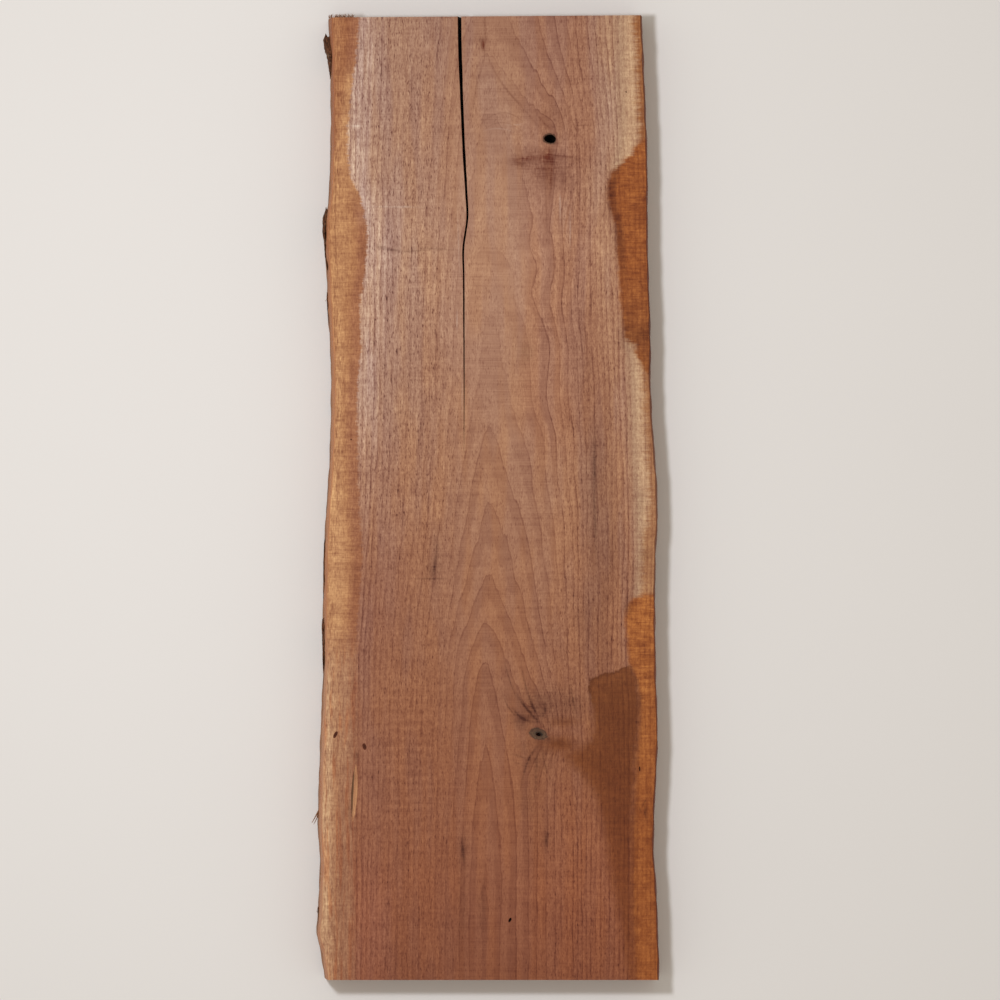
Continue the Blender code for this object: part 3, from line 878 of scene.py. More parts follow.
class Nodes:
    """Short calls for one node tree. Each adds nodes, feeds their sockets and gives back an output."""

    def __init__(self, tree):
        self.tree = tree

    def link(self, value, socket):
        """Joins an output to an input."""
        self.tree.links.new(value, socket)

    def node(self, kind, feeds=None, **settings):
        """Adds one node in rows of twelve, with its settings, and a link or a value for each socket."""
        made = self.tree.nodes.new(kind)
        row, column = divmod(len(self.tree.nodes), 12)
        made.location = (190 * column, -210 * row)
        for name, value in settings.items():
            setattr(made, name, value)
        for socket, value in (feeds or {}).items():
            if isinstance(value, bpy.types.NodeSocket):
                self.link(value, made.inputs[socket])
            else:
                made.inputs[socket].default_value = value
        return made

    def group(self, name, feeds=None):
        """Places a node group and gives back its outputs."""
        return self.node("ShaderNodeGroup", feeds, node_tree=bpy.data.node_groups[name]).outputs

    def attribute(self, name, output="Fac"):
        """A value that wood_attributes stored on the points, or a vector."""
        return self.node("ShaderNodeAttribute", attribute_name=name).outputs[output]

    def place_in_mm(self):
        """The place in the object, in millimetres."""
        place = self.node("ShaderNodeTexCoord").outputs["Object"]
        return self.node("ShaderNodeVectorMath", {0: place, "Scale": 1 / MM}, operation="SCALE").outputs[0]

    def split(self, vector):
        """The three numbers of a vector."""
        return self.node("ShaderNodeSeparateXYZ", {0: vector}).outputs

    def join(self, *parts):
        """A vector of up to three numbers, whose other ones are 0."""
        return self.node("ShaderNodeCombineXYZ", dict(enumerate(parts))).outputs[0]

    def math(self, operation, *values, clamp=False):
        """The result of one sum. A clamped one stays between 0 and 1."""
        feeds = dict(enumerate(values))
        return self.node("ShaderNodeMath", feeds, operation=operation, use_clamp=clamp).outputs[0]

    def add(self, *values):
        """All values added up."""
        total = values[0]
        for value in values[1:]:
            total = self.math("ADD", total, value)
        return total

    def times(self, *values):
        """All values multiplied."""
        total = values[0]
        for value in values[1:]:
            total = self.math("MULTIPLY", total, value)
        return total

    def less(self, value, amount):
        """The value less an amount."""
        return self.math("SUBTRACT", value, amount)

    def opposite(self, share):
        """What is left of 1."""
        return self.less(1, share)

    def scaled(self, value, factor, offset):
        """The value times a factor, plus an offset."""
        return self.math("MULTIPLY_ADD", value, factor, offset)

    def smooth(self, value, low, high):
        """0 below low, 1 above high and a soft step between them. Low may be above high."""
        feeds = {"Value": value, "From Min": low, "From Max": high}
        if low > high:
            feeds.update({"From Min": high, "From Max": low, "To Min": 1, "To Max": 0})
        return self.node("ShaderNodeMapRange", feeds, interpolation_type="SMOOTHSTEP").outputs[0]

    def between(self, value, low, high, soft):
        """1 between low and high, fading out over a width of soft at each end."""
        rise = self.smooth(value, low - soft, low + soft)
        return self.times(rise, self.smooth(value, high + soft, high - soft))

    def stretched(self, place, width, length, seed=0, thick=None):
        """A place divided by a pattern's size across and along the grain, and moved by its seed."""
        scale = (1 / width, 1 / length, 1 / (thick or width))
        feeds = {0: place, 1: scale, 2: (seed * 3.7, seed * 5.3, seed * 7.1)}
        return self.node("ShaderNodeVectorMath", feeds, operation="MULTIPLY_ADD").outputs[0]

    def noise(self, place, width, length, seed=0, detail=2, rough=0.5, thick=None):
        """Noise from 0 to 1 whose spots are about width across and length along the grain."""
        feeds = {"Vector": self.stretched(place, width, length, seed, thick),
                 "Scale": 1, "Detail": detail, "Roughness": rough}
        return self.node("ShaderNodeTexNoise", feeds).outputs[0]

    def wander(self, amount, *size, **settings):
        """The same noise, from minus the amount to plus the amount."""
        return self.scaled(self.noise(*size, **settings), 2 * amount, -amount)

    def patches(self, low, high, *size, **settings):
        """Soft-edged patches: 0 where the same noise is below low, and 1 where it is above high."""
        return self.smooth(self.noise(*size, **settings), low, high)

    def mix(self, share, a, b, blend="MIX"):
        """Colour a at a share of 0 and colour b at 1, or b laid over a in the way of the blend."""
        feeds = {0: share}
        for socket, colour in ((6, a), (7, b)):
            linked = isinstance(colour, bpy.types.NodeSocket)
            feeds[socket] = colour if linked else (*colour[:3], 1)
        return self.node("ShaderNodeMix", feeds, data_type="RGBA", blend_type=blend).outputs[2]

    def tint(self, colour, factors, *shares):
        """The colour times three factors, in the share that all the shares' product is."""
        return self.mix(self.times(*shares) if shares else 1, colour, factors, "MULTIPLY")

    def ramp(self, value, low, high, stops):
        """A colour read along (place, colour) stops between low and high."""
        feeds = {"Value": value, "From Min": low, "From Max": high}
        share = self.node("ShaderNodeMapRange", feeds).outputs[0]
        made = self.node("ShaderNodeValToRGB", {0: share})
        elements = made.color_ramp.elements
        while len(elements) < len(stops):
            elements.new(0.5)
        for element, (place, colour) in zip(elements, stops):
            element.position = (place - low) / (high - low)
            element.color = (*colour[:3], 1)
        return made.outputs[0]

    def shaded(self, colour, light):
        """The colour times a light factor. Wood turns redder as it darkens, so green and blue take the
        factor to a higher power."""
        deep = self.math("POWER", light, 1.4)
        return self.tint(colour, self.join(light, deep, deep))


def new_group(name, inputs, outputs):
    """An empty node group. Inputs holds each socket's value, and Color is the one output of a colour."""
    group = bpy.data.node_groups.new(name, "ShaderNodeTree")
    for label, value in inputs.items():
        kind = "NodeSocketVector" if isinstance(value, tuple) else "NodeSocketFloat"
        group.interface.new_socket(label, in_out="INPUT", socket_type=kind).default_value = value
    for label in outputs:
        kind = "NodeSocketColor" if label == "Color" else "NodeSocketFloat"
        group.interface.new_socket(label, in_out="OUTPUT", socket_type=kind)
    nodes = Nodes(group)
    return nodes, nodes.node("NodeGroupInput").outputs, nodes.node("NodeGroupOutput").inputs


def figure_group():
    """What growth draws in the wood: how light the rings, the streaks and the pores leave each place. The
    outer half of a ring is darker and ends in a thin dark line, and the next ring starts light again.
    Steep is how many rings there are to a millimetre of the surface. It keeps the line thin where the
    rings are wide, and there their outer half is smooth, with few streaks and pores."""
    nodes, given, result = new_group("Walnut figure", {
        "Steep": 1 / RING_WIDTH, "Line": 0.2, "Band": 0.1, "Streak": 0.3, "Mottle": 0.3, "Pore": 0.3,
    }, ["Light", "Height", "Smooth"])
    straight = nodes.attribute("fibre", "Vector")
    sway = nodes.join(nodes.wander(1.1, straight, 6, 16, seed=25))
    fibre = nodes.node("ShaderNodeVectorMath", {0: straight, 1: sway}, operation="ADD").outputs[0]
    wide = nodes.smooth(given["Steep"], 0.13, 0.06)

    uneven = nodes.times(nodes.wander(0.56, fibre, 9, 130, seed=28), nodes.opposite(wide))
    ring = nodes.add(nodes.attribute("ring"), uneven, nodes.wander(0.3, fibre, 18, 90, seed=1),
                     nodes.wander(0.1, fibre, 5, 20, seed=2))
    part = nodes.math("FRACT", ring)
    number = nodes.math("FLOOR", ring)
    own = nodes.node("ShaderNodeTexWhiteNoise", {"W": number}, noise_dimensions="1D").outputs[0]
    strength = nodes.scaled(own, 0.9, 0.45)
    patch = nodes.scaled(nodes.patches(0.36, 0.6, fibre, 6, 34, seed=7), 0.8, 0.2)
    patch = nodes.math("MAXIMUM", patch, nodes.times(wide, 0.8))
    left = nodes.math("DIVIDE", nodes.opposite(part), given["Steep"])
    line = nodes.times(nodes.smooth(left, 2.1, 0.7), nodes.smooth(left, 0, 0.35), strength, patch,
                       given["Line"])
    late = nodes.smooth(nodes.add(part, nodes.wander(0.1, fibre, 6, 24, seed=26)), 0.42, 0.6)
    smooth = nodes.times(late, wide)
    band = nodes.times(nodes.less(0.5, late), nodes.scaled(wide, 0.8, strength), given["Band"])

    broad = nodes.add(nodes.wander(0.4, fibre, 13, 300, seed=10),
                      nodes.wander(0.44, fibre, 4.6, 150, seed=3, detail=3))
    fine = nodes.wander(0.62, fibre, 1.7, 34, seed=4)
    short = nodes.wander(0.95, fibre, 1.1, 9, seed=5, detail=1)
    streak = nodes.times(nodes.add(broad, fine, short), given["Streak"])
    streak = nodes.times(streak, nodes.less(nodes.scaled(wide, -0.1, 1), nodes.times(smooth, 0.4)))
    curls = nodes.add(nodes.wander(1, fibre, 1.4, 2.6, seed=8, detail=1),
                      nodes.wander(0.7, fibre, 3.4, 5, seed=9, detail=1))
    curls = nodes.times(curls, given["Mottle"], nodes.scaled(smooth, -0.55, 1))
    grainy = nodes.noise(fibre, 0.95, 6, seed=6, detail=1)
    early = nodes.scaled(late, 0.03, 0.575)
    pore = nodes.math("MULTIPLY", nodes.less(grainy, early), 8, clamp=True)
    pore = nodes.times(pore, given["Pore"], nodes.scaled(wide, -0.35, 1))

    light = nodes.less(nodes.less(nodes.add(streak, curls, band, 1), line), pore)
    nodes.link(nodes.math("MAXIMUM", light, 0.12), result["Light"])
    nodes.link(nodes.times(nodes.add(fine, short), 0.04), result["Height"])
    nodes.link(smooth, result["Smooth"])


def mark_group():
    """One fine mark: e to the minus square of the distance from its line, in half widths and half
    lengths, after a turn, where a bend times the square of the way along it pushes the line sideways."""
    sizes = ["X", "Along", "Middle X", "Middle Along", "Turn", "Width", "Length", "Bend"]
    nodes, given, result = new_group("Walnut mark", dict.fromkeys(sizes, 1), ["Amount"])
    x = nodes.less(given["X"], given["Middle X"])
    along = nodes.less(given["Along"], given["Middle Along"])
    cosine, sine = nodes.math("COSINE", given["Turn"]), nodes.math("SINE", given["Turn"])
    across = nodes.add(nodes.times(x, cosine), nodes.times(along, sine))
    way = nodes.less(nodes.times(along, cosine), nodes.times(x, sine))
    across = nodes.less(across, nodes.times(way, way, given["Bend"]))
    across = nodes.math("DIVIDE", across, given["Width"])
    way = nodes.math("DIVIDE", way, given["Length"])
    square = nodes.add(nodes.times(across, across), nodes.times(way, way))
    nodes.link(nodes.math("EXPONENT", nodes.times(square, -1)), result["Amount"])


def add_marks(nodes):
    """The sum of all fine marks on the show face, each in its amount. They fade below the face."""
    x, y, up = nodes.split(nodes.place_in_mm())
    along = nodes.less(y, FOOT)
    total = 0
    for mark_x, mark_along, width, length, turn, bend, amount in MARKS:
        mark = nodes.group("Walnut mark", {
            "X": x, "Along": along, "Middle X": mark_x, "Middle Along": mark_along,
            "Turn": math.radians(turn), "Width": width, "Length": length, "Bend": bend})
        total = nodes.scaled(mark["Amount"], amount, total)
    return nodes.times(total, nodes.smooth(up, THICKNESS - 6, THICKNESS - 1))


class WoodPlace:
    """What the colour functions share at each place. Left and right are 1 on their side of the middle.
    Sap is the distance outside the heartwood, whose border the curls and the strokes make ragged."""

    def __init__(self, nodes):
        self.fibre = nodes.attribute("fibre", "Vector")
        self.x, self.along, _ = nodes.split(self.fibre)
        self.curls = nodes.wander(3, self.fibre, 4.5, 5.5, seed=11, detail=3)
        self.strokes = nodes.add(nodes.wander(6, self.fibre, 16, 1.7, seed=15),
                                 nodes.wander(4, self.fibre, 16, 7, seed=22))
        self.left = nodes.smooth(self.x, 4, -4)
        self.right = nodes.opposite(self.left)
        self.sap = nodes.add(nodes.attribute("sap"), self.curls, nodes.times(self.strokes, self.left, 0.4))


def heart_colour(nodes, look, here):
    """Heartwood, redder towards the foot and paler and greyer towards the top, partly its own tone and
    partly painted sheen. The left margin is mauve, and pale and striped higher up. The right one is dusky,
    and greyer at the top."""
    x, along, sap, left, right = here.x, here.along, here.sap, here.left, here.right
    # The paler, greyer upper colours of this ramp are partly the wood's own tone and partly painted sheen.
    heart = nodes.ramp(along, 0, LENGTH, [
        (0, look.heart_foot), (100, look.heart_red), (300, look.heart_low), (540, look.heart_middle),
        (790, look.heart_light), (LENGTH, look.heart_top)])
    mauve = nodes.times(nodes.smooth(sap, -66, -14), nodes.wander(0.8, here.fibre, 7, 120, seed=12))
    bluish = nodes.add(nodes.times(left, nodes.smooth(sap, -62, -12), 0.5), mauve)
    heart = nodes.tint(heart, (1, 1.04, 1.16), bluish)
    heart = nodes.tint(heart, (1.02, 1.09, 1.15), left, nodes.smooth(sap, -96, -24),
                       nodes.smooth(along, 540, 640))
    hue = nodes.patches(0.36, 0.64, here.fibre, 16, 150, seed=23, detail=1)
    yellower = nodes.tint(heart, (1.03, 1, 0.94))
    heart = nodes.mix(hue, yellower, nodes.tint(heart, (0.98, 0.99, 1.04)))
    near = nodes.smooth(sap, -42, -1)
    stripes = nodes.patches(0.36, 0.58, here.fibre, 2.2, 150, seed=13)
    pale = nodes.times(left, near, near, nodes.smooth(along, 480, 610))
    heart = nodes.tint(heart, (1.28, 1.46, 1.58), pale, nodes.scaled(stripes, 0.8, 0.45))
    heart = nodes.tint(heart, (1.08, 1.09, 1.05), left, near, nodes.smooth(along, 820, 900))
    heart = nodes.tint(heart, (0.9, 0.86, 0.9), left, nodes.smooth(sap, -80, -20),
                       nodes.between(along, 350, 470, 50))
    heart = nodes.tint(heart, (1.16, 1.18, 1.24), left, nodes.smooth(sap, -50, -20),
                       nodes.smooth(along, 160, 60))
    dusk = nodes.times(right, nodes.between(sap, -54, -20, 12), nodes.between(along, 330, 640, 90))
    heart = nodes.tint(heart, (0.81, 0.78, 0.79), dusk, nodes.add(mauve, 0.9))
    heart = nodes.tint(heart, (1.06, 1.02, 0.96), right, nodes.smooth(along, 240, 140),
                       nodes.smooth(sap, -120, -80))
    heart = nodes.tint(heart, (0.92, 0.84, 0.82), nodes.smooth(x, 22, 58), nodes.smooth(along, 530, 630),
                       nodes.smooth(sap, -12, -38))
    return nodes.tint(heart, (1.16, 1.28, 1.28), right, nodes.smooth(sap, -34, -2),
                      nodes.smooth(along, 850, 960))


def left_sapwood(nodes, look, here):
    """The left sapwood: golden, and paler in the lower third, with a ragged change between the two."""
    along, sap = here.along, here.sap
    high = nodes.ramp(sap, 0, 40, [
        (0, look.sap_inner), (6, look.sap_inner), (13, look.sap_edge), (20, look.sap_golden),
        (30, look.sap_golden), (40, look.sap_edge)])
    high = nodes.mix(nodes.between(along, 850, 990, 20), high, look.sap_golden)
    high = nodes.tint(high, (0.76, 0.64, 0.6), nodes.smooth(along, 860, 950),
                      nodes.smooth(nodes.attribute("sap"), 1, 12))
    high = nodes.tint(high, (0.84, 0.76, 0.72), nodes.between(along, 350, 470, 40),
                      nodes.smooth(nodes.attribute("sap"), 14, 4))
    high = nodes.tint(high, (1.05, 1.07, 1.08), nodes.between(along, 450, 560, 30),
                      nodes.smooth(sap, 14, 22))
    high = nodes.tint(high, (0.96, 0.93, 0.9), nodes.between(along, 680, 900, 40))
    low = nodes.ramp(sap, -4, 36, [
        (-4, look.heart_low), (5, look.sap_dull), (14, look.sap_dull), (22, look.sap_low),
        (30, look.sap_pale), (36, look.sap_pale)])
    low = nodes.tint(low, (1.16, 1.26, 1.28), nodes.between(along, 240, 360, 25),
                     nodes.smooth(sap, 4, 12), nodes.smooth(sap, 26, 18))
    change = nodes.add(along, nodes.times(here.curls, 8))
    golden = nodes.mix(nodes.smooth(change, 335, 395), low, high)
    return nodes.tint(golden, (0.96, 0.78, 0.68), nodes.patches(0.46, 0.64, here.fibre, 4, 70, seed=14),
                      nodes.smooth(along, 400, 300))


def dry_sapwood(nodes, look, here):
    """The right sapwood where it stayed dry: cream, and brown beside the live edge."""
    cream = nodes.ramp(here.sap, -14, 12, [
        (-14, look.sap_margin), (2, look.sap_margin), (12, look.sap_cream)])
    broad = nodes.times(nodes.smooth(here.along, 520, 470), -7)
    rim = nodes.smooth(nodes.add(nodes.attribute("rim"), here.strokes, broad), 14, 2)
    return nodes.tint(cream, (0.56, 0.34, 0.2), rim,
                      nodes.scaled(nodes.smooth(here.along, 560, 760), 0.22, 0.78))


def damp_sapwood(nodes, look, here):
    """The right sapwood where damp turned it orange: cloudy, and darker at the rim and by the heart. It
    gives back its clouds and the share of its low end too."""
    along, sap = here.along, here.sap
    damp = nodes.ramp(along, 0, LENGTH, [
        (0, look.damp_low), (190, look.damp_low), (280, look.damp_orange), (410, look.damp_orange),
        (700, look.damp_dark), (780, look.damp_low), (LENGTH, look.damp_low)])
    cloudy = nodes.patches(0.4, 0.66, here.fibre, 7, 9, seed=18, detail=3)
    damp = nodes.tint(damp, (0.84, 0.77, 0.72), cloudy)
    damp = nodes.tint(damp, (0.93, 0.91, 0.89), nodes.smooth(nodes.attribute("rim"), 12, 3))
    damp = nodes.tint(damp, (0.7, 0.66, 0.71), nodes.smooth(sap, 12, 7), nodes.smooth(along, 740, 800))
    low_right = nodes.times(here.right, nodes.smooth(along, 320, 240))
    damp = nodes.tint(damp, (0.84, 0.82, 0.82), low_right, nodes.smooth(sap, 12, 2))
    return damp, cloudy, low_right


def stained(nodes, look, here, cloudy, wood):
    """Lays the dark stain over the heartwood, and gives back the share that it covers too. Its upper end
    is sharp with a darker line, and lower down its border is soft and lighter."""
    along = here.along
    stain = nodes.add(nodes.attribute("stain"), nodes.wander(5, here.fibre, 5, 9, seed=19, detail=3))
    soft = nodes.scaled(nodes.smooth(along, 320, 280), 8, 1.6)
    inside = nodes.smooth(nodes.math("DIVIDE", stain, soft), -0.9, 0.9)
    border = nodes.add(here.sap, nodes.wander(4, here.fibre, 6, 6, seed=24))
    inside = nodes.times(inside, nodes.smooth(border, 7, -5))
    soaked = nodes.ramp(along, 0, 320, [
        (0, look.stain_low), (120, look.stain_low), (300, look.stain_dark)])
    soaked = nodes.tint(soaked, (1.16, 1.24, 1.32), nodes.smooth(stain, 22, 4))
    soaked = nodes.tint(soaked, (0.72, 0.66, 0.62), nodes.smooth(stain, 4, 0.5),
                        nodes.smooth(along, 290, 310))
    soaked = nodes.tint(soaked, (0.92, 0.9, 0.88), cloudy)
    soaked = nodes.tint(soaked, (1.15, 1.17, 1.18), nodes.smooth(here.strokes, -3, 3))
    return nodes.mix(inside, wood, soaked), inside


def marked(nodes, here, wood):
    """Darkens the wood unevenly by its smudges and fine marks, redder in the upper part, and lightens it
    where they are below 0."""
    marks = nodes.add(nodes.attribute("smudge"), add_marks(nodes))
    mottled = nodes.add(nodes.wander(0.65, here.fibre, 2, 7, seed=20, detail=3),
                        nodes.wander(0.7, here.fibre, 14, 1.6, seed=27), 1)
    dark = nodes.math("MULTIPLY", marks, nodes.math("MAXIMUM", mottled, 0.1), clamp=True)
    ruddy = nodes.smooth(here.along, 760, 840)
    wood = nodes.tint(wood, (0.26, 0.17, 0.16), dark, nodes.opposite(ruddy))
    wood = nodes.tint(wood, (0.36, 0.16, 0.12), dark, ruddy)
    pale = nodes.math("MULTIPLY", marks, -1, clamp=True)
    return nodes.mix(pale, wood, srgb(236, 214, 196))


def knotted(nodes, here, wood):
    """Lays the branches' own wood over the rest, which darkens round it."""
    knot = nodes.add(nodes.attribute("knot"), nodes.wander(0.34, here.fibre, 3.2, 3.2, seed=21, detail=4))
    wood = nodes.tint(wood, (0.56, 0.46, 0.46), nodes.smooth(knot, 2.1, 0.9), 0.45)
    branch = nodes.ramp(knot, 0, 1.2, [
        (0, srgb(26, 18, 13)), (0.3, srgb(40, 29, 21)), (0.48, srgb(84, 62, 46)),
        (0.74, srgb(100, 72, 53)), (0.92, srgb(80, 54, 40)), (1.1, srgb(112, 74, 54))])
    return nodes.mix(nodes.smooth(knot, 1.2, 0.9), wood, branch)


def colour_group(look):
    """The wood's colour before the figure: heartwood, sapwood on both sides, damp parts with ragged
    borders, marks and knots. Calm is below 1 where damp has evened out the figure."""
    nodes, _, result = new_group("Walnut colour", {}, ["Color", "Sap", "Calm"])
    here = WoodPlace(nodes)
    left, right = here.left, here.right
    heart = heart_colour(nodes, look, here)
    golden = left_sapwood(nodes, look, here)
    cream = dry_sapwood(nodes, look, here)
    orange = nodes.add(nodes.attribute("orange"), nodes.times(here.strokes, 0.7),
                       nodes.wander(4, here.fibre, 8, 8, seed=17))
    damp, cloudy, low_right = damp_sapwood(nodes, look, here)
    damp_share = nodes.smooth(orange, -4, 4)
    sapwood = nodes.mix(left, nodes.mix(damp_share, cream, damp), golden)
    dry = nodes.times(right, nodes.opposite(damp_share))
    faint = nodes.times(left, nodes.smooth(here.along, 360, 280))
    soft = nodes.add(nodes.times(right, 2), nodes.times(dry, 4.5), nodes.times(faint, 7),
                     nodes.times(low_right, 2.6), 1.8)
    sap_share = nodes.smooth(nodes.math("DIVIDE", here.sap, soft), -1, 1)
    wood = nodes.mix(sap_share, heart, sapwood)
    wood, inside = stained(nodes, look, here, cloudy, wood)
    wood = knotted(nodes, here, marked(nodes, here, wood))
    nodes.link(wood, result["Color"])
    nodes.link(sap_share, result["Sap"])
    nodes.link(nodes.scaled(inside, -0.36, 1), result["Calm"])


def saw_group():
    """Marks of the saw across a face: fine ridges that are long one way and close together the other,
    and short ragged strokes, which sapwood shows most."""
    nodes, given, result = new_group("Saw marks", {"Place": (0, 0, 0), "Ragged": 0}, ["Light", "Height"])
    place = given["Place"]

    def scratches(amount, width, length, seed):
        """Noise that is the same at every depth."""
        return nodes.wander(amount, place, width, length, seed=seed, detail=1, thick=ALL_DEPTHS)

    patch = nodes.patches(0.36, 0.6, place, 50, 60, seed=32, thick=ALL_DEPTHS)
    fine = nodes.times(scratches(0.08, 60, 1.2, 31), nodes.scaled(patch, 1.1, 0.3))
    wide = nodes.add(scratches(0.07, 45, 3.6, 33), scratches(0.09, 40, 15, 34))
    ragged = nodes.add(scratches(0.36, 12, 1.3, 35), scratches(0.28, 16, 3.2, 36),
                       scratches(0.28, 20, 12, 37))
    marks = nodes.add(fine, wide, nodes.times(ragged, given["Ragged"]))
    nodes.link(nodes.add(marks, 1), result["Light"])
    nodes.link(nodes.times(marks, 0.4), result["Height"])


# Materials

def new_material(name, roughness, specular):
    """A material with only its shader and output, whose roughness and specular level are set there."""
    material = bpy.data.materials.new(name)
    material.use_nodes = True
    shader = material.node_tree.nodes["Principled BSDF"]
    shader.inputs["Roughness"].default_value = roughness
    shader.inputs["Specular IOR Level"].default_value = specular
    return material, Nodes(material.node_tree)


def finish_material(material, nodes, colour, height=None):
    """Feeds the shader the colour, and the height in millimetres through a bump."""
    shader = material.node_tree.nodes["Principled BSDF"]
    nodes.link(colour, shader.inputs["Base Color"])
    if height is not None:
        bump = nodes.node("ShaderNodeBump", {"Height": height, "Distance": MM, "Strength": 1})
        nodes.link(bump.outputs[0], shader.inputs["Normal"])
    return material


def sawn_material(look):
    """The two faces. Near the middle line they are calm, with soft bands, and towards the heart's borders
    striped. Sapwood has hardly any rings, but ragged marks of the saw."""
    material, nodes = new_material("walnut_sawn", 0.78, 0.25)
    wood = nodes.group("Walnut colour")
    sap, calm = nodes.attribute("sap"), wood["Calm"]
    x, along, _ = nodes.split(nodes.attribute("fibre", "Vector"))
    side = nodes.smooth(nodes.math("ABSOLUTE", x), 15, 75)
    right = nodes.smooth(x, 10, 60)
    heart = nodes.opposite(nodes.times(wood["Sap"], nodes.scaled(right, -0.4, 0.9)))
    margin = nodes.smooth(sap, -46, -6)
    lively = nodes.times(nodes.smooth(x, 20, -20), nodes.smooth(along, 430, 560))
    lively = nodes.scaled(lively, 0.28, 0.72)
    line = nodes.math("MAXIMUM", margin, nodes.times(side, right))
    line = nodes.scaled(line, 0.1, look.ring_lines)
    foot = nodes.times(nodes.smooth(x, -20, -50), nodes.smooth(along, 420, 300))
    top = nodes.times(nodes.smooth(along, 560, 680), nodes.opposite(side))
    quiet = nodes.opposite(nodes.add(nodes.times(foot, 0.15), nodes.times(top, 0.45)))
    band = nodes.scaled(margin, 0.1, look.ring_bands)
    streak = nodes.scaled(side, 0.6 * look.streaks, 0.8 * look.streaks)
    edge = nodes.times(nodes.smooth(x, 4, -4), nodes.smooth(nodes.attribute("rim"), 14, 6))
    low_sap = nodes.times(foot, wood["Sap"])
    plain = nodes.opposite(nodes.times(wood["Sap"], nodes.scaled(right, 0.3, 0.25)))
    soaked = nodes.times(nodes.smooth(x, 100, 150), nodes.smooth(along, 320, 240))
    plain = nodes.add(plain, nodes.times(edge, 0.9), nodes.times(low_sap, 0.7),
                      nodes.times(soaked, wood["Sap"], -0.25))
    figure = nodes.group("Walnut figure", {
        "Steep": nodes.math("MAXIMUM", nodes.attribute("steep"), 0.01),
        "Line": nodes.times(line, heart, calm, quiet),
        "Band": nodes.times(band, heart, calm, quiet),
        "Streak": nodes.times(streak, calm, lively, plain),
        "Mottle": nodes.times(calm, nodes.scaled(side, 0.5 * look.mottle, look.mottle)),
        "Pore": nodes.times(look.pores, heart, calm, lively)})

    place = nodes.place_in_mm()
    wet = nodes.smooth(nodes.attribute("orange"), -6, 4)
    ragged = nodes.add(nodes.times(right, nodes.scaled(wet, 0.7, -0.28)), nodes.times(foot, -0.35),
                       nodes.times(soaked, -0.45), 0.6)
    ragged = nodes.times(wood["Sap"], ragged)
    marks = nodes.group("Saw marks", {"Place": place, "Ragged": ragged})
    # The saw's ripples at the lower left are also painted into the colour: bands across the grain, lighter
    # and darker as their slopes would catch the light. This is painted light and shade.
    shift = nodes.wander(2.5, place, 25, 25, seed=42)
    painted_ripple_shading = nodes.math("SINE", nodes.scaled(along, 2 * math.pi / CHATTER, shift))
    painted_ripple_shading = nodes.times(painted_ripple_shading, nodes.between(x, -112, -58, 14), nodes.between(along, 150, 320, 45))
    sawn = nodes.times(nodes.less(marks["Light"], 1), nodes.scaled(figure["Smooth"], 0.7, 1))
    sawn = nodes.scaled(painted_ripple_shading, 0.055, nodes.add(sawn, 1))
    light = nodes.times(figure["Light"], sawn)
    fuzz = nodes.wander(0.05, place, 0.5, 0.9, seed=41)
    height = nodes.add(figure["Height"], marks["Height"], fuzz)
    return finish_material(material, nodes, nodes.shaded(wood["Color"], light), height)


def live_material(look):
    """The live edges: bare wood that grew under the bark, in long streaks. By the show face it has the
    sapwood's colour on the left, and on the right that colour darkened to a dark brown, painted shade of
    the side that faces away from the key light. Dark bast lies further down."""
    material, nodes = new_material("walnut_live_edge", 0.7, 0.3)
    wood = nodes.group("Walnut colour")
    place = nodes.place_in_mm()
    x, _, up = nodes.split(place)
    streak = nodes.wander(0.45, place, 1.8, 50, seed=51, detail=4, rough=0.6)
    blotch = nodes.noise(place, 9, 50, seed=52, detail=3)
    ragged = nodes.add(up, nodes.wander(6, place, 6, 22, seed=53, detail=3))
    deep = nodes.smooth(ragged, THICKNESS - 14, THICKNESS - 24)
    side = nodes.smooth(x, -10, 10)
    colour = nodes.tint(wood["Color"], (0.96, 0.84, 0.82))
    # Painted shade: the right edge, which faces away from the key light, is darkened.
    colour = nodes.tint(colour, (0.52, 0.44, 0.42), side)
    colour = nodes.mix(nodes.times(deep, 0.8), colour, look.live_edge)
    colour = nodes.mix(nodes.times(deep, nodes.smooth(blotch, 0.5, 0.66)), colour, look.bast)
    colour = nodes.mix(nodes.times(nodes.smooth(ragged, 2.2, 0.4), 0.8), colour, look.bark_dark)
    film = nodes.patches(0.56, 0.66, place, 4.5, 36, seed=54, detail=4)
    film = nodes.times(film, nodes.patches(0.44, 0.6, place, 40, 120, seed=56), deep, 0.7)
    colour = nodes.mix(film, colour, look.bark_dark)
    light = nodes.add(streak, 1)
    height = nodes.add(nodes.times(streak, 0.35), nodes.times(film, 0.25),
                       nodes.wander(0.06, place, 0.6, 2, seed=55))
    return finish_material(material, nodes, nodes.shaded(colour, light), height)


def end_material(look):
    """The cut ends: end grain, darker than the faces, with the rings as arcs, pores as dots, and the
    saw's marks from face to face."""
    material, nodes = new_material("walnut_cut_end", 0.8, 0.25)
    wood = nodes.group("Walnut colour")
    figure = nodes.group("Walnut figure", {
        "Steep": 1 / RING_WIDTH, "Line": 0.45, "Band": 0.1, "Streak": 0.14, "Mottle": 0.16, "Pore": 0.4})
    place = nodes.place_in_mm()
    x, _, up = nodes.split(place)
    marks = nodes.group("Saw marks", {"Place": nodes.join(up, x), "Ragged": 0.3})
    colour = nodes.tint(wood["Color"], (0.72, 0.66, 0.62))
    light = nodes.times(figure["Light"], marks["Light"])
    height = nodes.add(figure["Height"], nodes.times(marks["Height"], 1.5),
                       nodes.wander(0.08, place, 0.6, 0.6, seed=61))
    return finish_material(material, nodes, nodes.shaded(colour, light), height)


